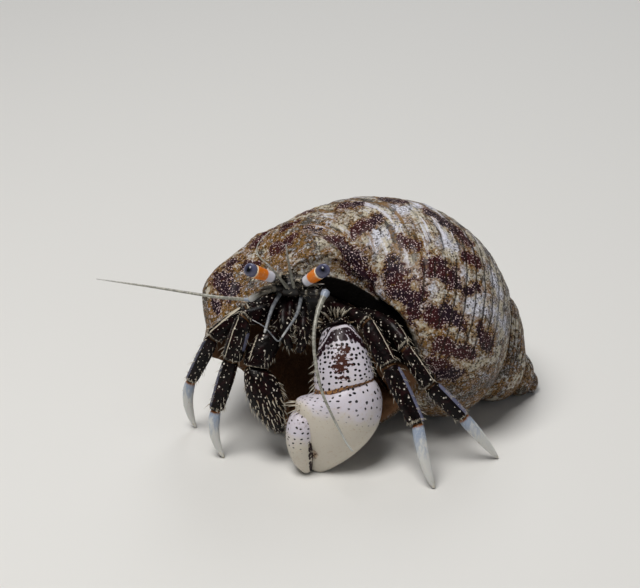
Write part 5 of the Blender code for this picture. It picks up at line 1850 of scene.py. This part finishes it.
@dataclass
class Antenna:
    """A long antenna: its jointed base, the pointed scale beside it and the ringed whip."""

    side: Side
    coat: Coat
    base: tuple[Point, Point, Point]
    whip: tuple[Point, ...]
    widths: Profile
    spine: tuple[Point, Point]
    dusk: float = 0.0
    count: int = 70

    def build(self, feeler: Material, dusky: Material) -> None:
        """Models and dresses the antenna.

        Args:
            feeler: The whip's finish.
            dusky: The base's finish.
        """
        label = self.side.label()
        rings = Span(*self.base, ANTENNA_BASE, 1.0).stations()
        item = Bench.sweep(f"antenna_{label}_stem", rings, 20)
        along = Skin.read(item, "along")
        joint = ease(np.abs(along - 0.36), 0.05, 0.02) + ease(np.abs(along - 0.71), 0.05, 0.02)
        Skin.paint(item, dusk=(1 - joint) * (self.dusk + (1 - self.dusk) * ease(along, 0.5, 0.1)))
        self.coat.grow(item, rings, (Growth(12, (0.3, 0.9), 45, 0.07, (0.1, 0.95), None, 0.0, 0.4),))
        settle(item, dusky, Slot.FEELER, f"antenna_{label}_base")
        root, tip = self.spine
        rings = Span(root, middle_of(root, tip, (0.0, 0.0, 0.2)), tip, ANTENNA_SPINE, 0.5).stations()
        item = Bench.sweep(f"antenna_{label}_spine", rings, 12)
        Skin.paint(item, dusk=ease(Skin.read(item, "along"), 0.6, 0.0) * 0.7)
        self.coat.grow(item, rings, (Growth(9, (0.3, 0.7), 45, 0.07, (0.1, 1.0), None, 0.0, 0.3),))
        settle(item, dusky, Slot.FEELER)
        rings = route_stations(self.whip, self.widths, self.count, 0.05)
        item = Bench.sweep(f"antenna_{label}_whip", rings, 10, 1)
        Skin.paint(item, dusk=-ease(Skin.read(item, "along"), 0.055, 0.04))
        self.coat.grow(item, rings, (Growth(20, (0.15, 0.3), 55, 0.04, (0.02, 0.95), None, 0.0, 0.3),))
        settle(item, feeler, Slot.FEELER, f"antenna_{label}_flagellum_1", f"antenna_{label}_flagellum_2")


@dataclass
class Feeler:
    """A short feeler: an antennule or a rod beside the mouth, with the fine whip at its end."""

    name: str
    node: str
    points: tuple[Point, ...]
    widths: Profile
    whip: tuple[Point, ...] = ()
    whip_width: float = 0.24
    count: int = 26

    def build(self, finish: Material, slot: Slot) -> None:
        """Models and dresses the feeler.

        Args:
            finish: Its finish.
            slot: The record's slot for it.
        """
        rings = route_stations(self.points, self.widths, self.count, 0.05)
        item = Bench.sweep(self.name, rings, 10, 1)
        if self.whip:
            fine = route_stations(self.whip, ((0.0, self.whip_width), (1.0, 0.1)), self.count, 0.06)
            item = Bench.join(self.name, (item, Bench.sweep(f"{self.name}_whip", fine, 8, 1)))
        Skin.paint(item, dusk=0.0)
        settle(item, finish, slot, self.node)


@dataclass
class Mouth:
    """The hairy outer mouth limbs and the smaller ones between them."""

    coat: Coat
    limbs: tuple = ((Side.RIGHT, ((-4.8, -15.4, 22.2), (-5.1, -19.0, 20.0), (-4.1, -20.0, 16.7))),
                    (Side.LEFT, ((-2.9, -15.6, 22.0), (-2.3, -19.2, 19.7), (-3.0, -20.2, 16.4))))
    inner: tuple = ((Side.RIGHT, ((-4.1, -15.6, 22.6), (-4.2, -18.2, 21.0), (-3.9, -18.8, 18.6))),
                    (Side.LEFT, ((-3.3, -15.8, 22.4), (-3.2, -18.2, 21.0), (-3.4, -18.9, 18.4))))

    def build(self, cuticle: Material) -> None:
        """Models and dresses the mouth.

        Args:
            cuticle: The dark finish.
        """
        for width, places, count, name in ((1.95, self.limbs, 26, "jaw_limb"),
                                           (1.1, self.inner, 14, "inner_jaw")):
            for side, points in places:
                rings = Span(*points, scaled(JAW, width), 0.9).stations()
                item = Bench.sweep(f"{name}_{side.label()}", rings, 20)
                Skin.paint(item, stripe=0.0, hinge=0.0, edge=0.25)
                self.coat.grow(item, rings, (
                    Growth(count, (0.4, 1.1), 40, 0.07, (0.2, 1.0), (0.0, -1.0, 0.0), -0.5, 0.45),
                    Growth(8, (0.7, 1.3), 30, 0.07, (0.5, 1.0), (0.0, -0.6, -0.6), -0.3, 0.4)))
                nodes = (f"maxilliped_{side.label()}",) if places is self.limbs else ()
                settle(item, cuticle, Slot.DARK, *nodes)


# The studio


@dataclass
class Studio:
    """A pale floor, soft lights and a camera where the photographer stood."""

    stand: Point = (0.0, -264.88, 155.84)
    look: Point = (0.0, 0.88295, -0.46947)
    lens: float = 112.5
    sensor: float = 36.0
    near: float = 0.01
    far: float = 20.0
    floor: tuple = tone(226, 225, 222)
    floor_size: float = 6.0
    sky: tuple = tone(226, 232, 240)
    sky_strength: float = 0.09
    lamps: tuple = (("key", (-0.1, -0.1, 0.45), 0.2, 1.85, (1.0, 0.98, 0.95)),
                    ("fill", (0.35, -0.4, 0.25), 0.4, 0.17, (0.93, 0.96, 1.0)),
                    ("back", (0.1, 0.4, 0.35), 0.25, 0.55, (0.95, 0.97, 1.0)))
    lit: Point = (0.0, 0.0, 0.015)

    def build(self) -> None:
        """Sets the floor, the lights and the camera."""
        Bench.clear()
        bpy.ops.mesh.primitive_plane_add(size=self.floor_size, location=(0.0, 0.0, 0.0))
        floor = bpy.context.object
        floor.name = "floor"
        floor.data.materials.append(Paint("pale_floor").close(self.floor, 0.8))
        bpy.context.scene.view_settings.view_transform = "Standard"
        world = bpy.data.worlds.new("sky")
        world.use_nodes = True
        backdrop = world.node_tree.nodes["Background"]
        backdrop.inputs["Color"].default_value = self.sky
        backdrop.inputs["Strength"].default_value = self.sky_strength
        bpy.context.scene.world = world
        for name, place, size, power, colour in self.lamps:
            lamp = bpy.data.lights.new(name, "AREA")
            lamp.size, lamp.energy, lamp.color = size, power, colour
            self._aim(Bench.new(name, lamp), Vector(place), Vector(self.lit) - Vector(place))
        lens = bpy.data.cameras.new("camera")
        lens.lens, lens.sensor_width = self.lens, self.sensor
        lens.clip_start, lens.clip_end = self.near, self.far
        bpy.context.scene.camera = Bench.new("camera", lens)
        self._aim(bpy.context.scene.camera, at(self.stand), Vector(self.look))

    @staticmethod
    def _aim(item: Item, place: Vector, way: Vector) -> None:
        """Sets a lamp or the camera in its place, in metres, and turns it a way."""
        item.location = place
        item.rotation_mode = "QUATERNION"
        item.rotation_quaternion = way.to_track_quat("-Z", "Y")


LEGS = (
    WalkingLeg("leg_right_2", Side.RIGHT, ((-6.8, -14.2, 21.4), (-10.2, -16.0, 20.9), (-15.2, -16.2, 16.7),
                                           (-18.7, -14.6, 8.5), (-19.3, -14.1, 4.4), (-18.3, -13.8, 0.0)),
               (2.4, 2.5, 2.0, 1.6)),
    WalkingLeg("leg_right_1", Side.RIGHT, ((-6.6, -15.2, 20.4), (-10.6, -19.5, 21.5), (-12.5, -20.5, 15.4),
                                           (-14.8, -21.4, 7.7), (-15.1, -21.7, 3.8), (-13.8, -22.0, 0.0)),
               (2.6, 2.7, 2.3, 1.6)),
    WalkingLeg("leg_left_1", Side.LEFT, ((2.0, -13.8, 20.0), (6.6, -18.5, 20.2), (9.7, -22.5, 15.6),
                                         (13.6, -27.2, 8.9), (14.5, -29.0, 4.6), (16.0, -30.0, 0.0)),
               (2.5, 2.6, 2.6, 1.8)),
    WalkingLeg("leg_left_2", Side.LEFT, ((4.2, -12.9, 18.6), (11.9, -21.4, 17.7), (15.4, -22.9, 12.7),
                                         (20.2, -23.0, 7.5), (22.8, -22.7, 4.0), (25.6, -22.2, 0.0)),
               (2.2, 2.3, 2.3, 1.8), (1.1, -0.6, 2.0)),
)


def build_head(coat: Coat, cuticle: Material) -> None:
    """Builds the eyes, feelers and mouth.

    Args:
        coat: The coat that the head's bristles join.
        cuticle: The dark finish.
    """
    cornea = CorneaFinish().material()
    Eye(Side.RIGHT, coat, (-5.2, -16.2, 25.7), (-8.9, -18.7, 28.4), (-9.9, -19.2, 29.1), (-4.9, -16.2, 25.9),
        (-5.9, -18.0, 27.3), (-0.35, -0.85, 0.55)).build(cornea, cuticle)
    Eye(Side.LEFT, coat, (-3.1, -16.4, 24.9), (-0.25, -18.7, 28.15), (0.75, -19.3, 29.15),
        (-3.5, -16.4, 25.4), (-2.9, -18.2, 26.9), (-0.1, -0.85, 0.6)).build(cornea, cuticle)
    feeler = FeelerFinish().material()
    dusky = FeelerFinish("dusky_feeler", tone(112, 106, 92), tone(58, 54, 46), 0.0).material()
    Antenna(Side.RIGHT, coat, ((-5.2, -16.3, 24.6), (-7.3, -17.8, 25.1), (-9.9, -18.6, 23.9)),
            ((-9.6, -18.5, 23.9), (-13.2, -19.0, 24.5), (-16.7, -18.6, 24.8), (-23.8, -17.0, 25.2),
             (-31.6, -15.0, 25.4)), ((0.0, 0.52), (0.3, 0.42), (0.6, 0.32), (1.0, 0.16)),
            ((-5.6, -16.9, 25.0), (-8.6, -19.0, 26.0)), 0.15).build(feeler, dusky)
    Antenna(Side.LEFT, coat, ((-2.9, -16.4, 24.2), (-1.1, -18.2, 24.9), (1.0, -19.2, 25.7)),
            ((0.9, -19.1, 25.7), (0.3, -20.4, 24.9), (-0.3, -21.8, 23.8), (-0.8, -24.0, 22.1),
             (-0.8, -26.0, 20.1), (-0.3, -28.2, 17.4), (0.7, -30.2, 14.6), (3.4, -32.6, 9.7),
             (4.5, -33.1, 8.15)),
            ((0.0, 1.2), (0.018, 1.3), (0.035, 1.2), (0.05, 0.86), (0.12, 0.8), (0.18, 0.58), (0.5, 0.46),
             (1.0, 0.26)),
            ((-2.5, -16.9, 25.0), (0.6, -19.4, 26.9)), 0.85).build(feeler, dusky)
    Feeler("antennule_right_stem", "antennule_right",
           ((-4.6, -16.9, 25.0), (-5.9, -18.9, 28.0), (-7.4, -20.2, 30.6)),
           ((0.0, 0.56), (0.45, 0.36), (1.0, 0.22)),
           ((-7.2, -20.2, 30.3), (-8.5, -19.5, 31.4), (-8.7, -18.0, 31.9), (-8.1, -15.5, 31.9),
            (-7.0, -13.5, 32.1)), 0.22).build(feeler, Slot.FEELER)
    Feeler("antennule_left_stem", "antennule_left",
           ((-3.6, -16.8, 24.9), (-4.3, -17.6, 28.9), (-4.7, -18.4, 32.6)),
           ((0.0, 0.56), (0.45, 0.36), (1.0, 0.16))).build(feeler, Slot.FEELER)
    rod = FeelerFinish("blue_rod", tone(136, 139, 142), tone(88, 92, 100), 0.0).material()
    Feeler("exopod_right_rod", "exopod_right",
           ((-5.6, -16.4, 23.8), (-6.7, -19.0, 22.8), (-7.7, -22.6, 20.9)),
           ((0.0, 0.6), (0.6, 0.5), (1.0, 0.36))).build(rod, Slot.FEELER)
    Feeler("exopod_left_rod", "exopod_left",
           ((-2.6, -16.6, 23.4), (-3.3, -20.0, 22.3), (-5.3, -23.2, 20.5)),
           ((0.0, 0.56), (0.6, 0.42), (1.0, 0.26)),
           ((-5.3, -23.2, 20.5), (-5.9, -23.6, 20.2), (-7.6, -23.0, 22.0), (-9.4, -22.4, 22.9))
           ).build(rod, Slot.FEELER)
    Mouth(coat).build(cuticle)


def main() -> None:
    """Builds the crab and its shell, then the studio."""
    logging.basicConfig(level=logging.INFO, format="%(name)s %(message)s")
    Bench.clear()
    cuticle, porcelain = CuticleFinish().material(), PorcelainFinish().material()
    shell = TurbanShell()
    shell.build()
    head_coat, leg_coat = Coat("head_bristles", 16), Coat("leg_bristles", 8)
    claw_coat = Coat("claw_bristles", 8)
    SoftBody(shell, head_coat).build()
    for leg in LEGS:
        leg.build(cuticle, porcelain, leg_coat)
    BigClaw(claw_coat).build()
    SmallClaw(claw_coat).build(cuticle)
    build_head(head_coat, cuticle)
    head_coat.build(BristleFinish("head_bristle").material(), Slot.FEELER)
    leg_coat.build(BristleFinish("leg_bristle").material(), Slot.DARK)
    claw_coat.build(BristleFinish("claw_bristle").material(), Slot.DARK)
    Studio().build()


if __name__ == "__main__":
    main()
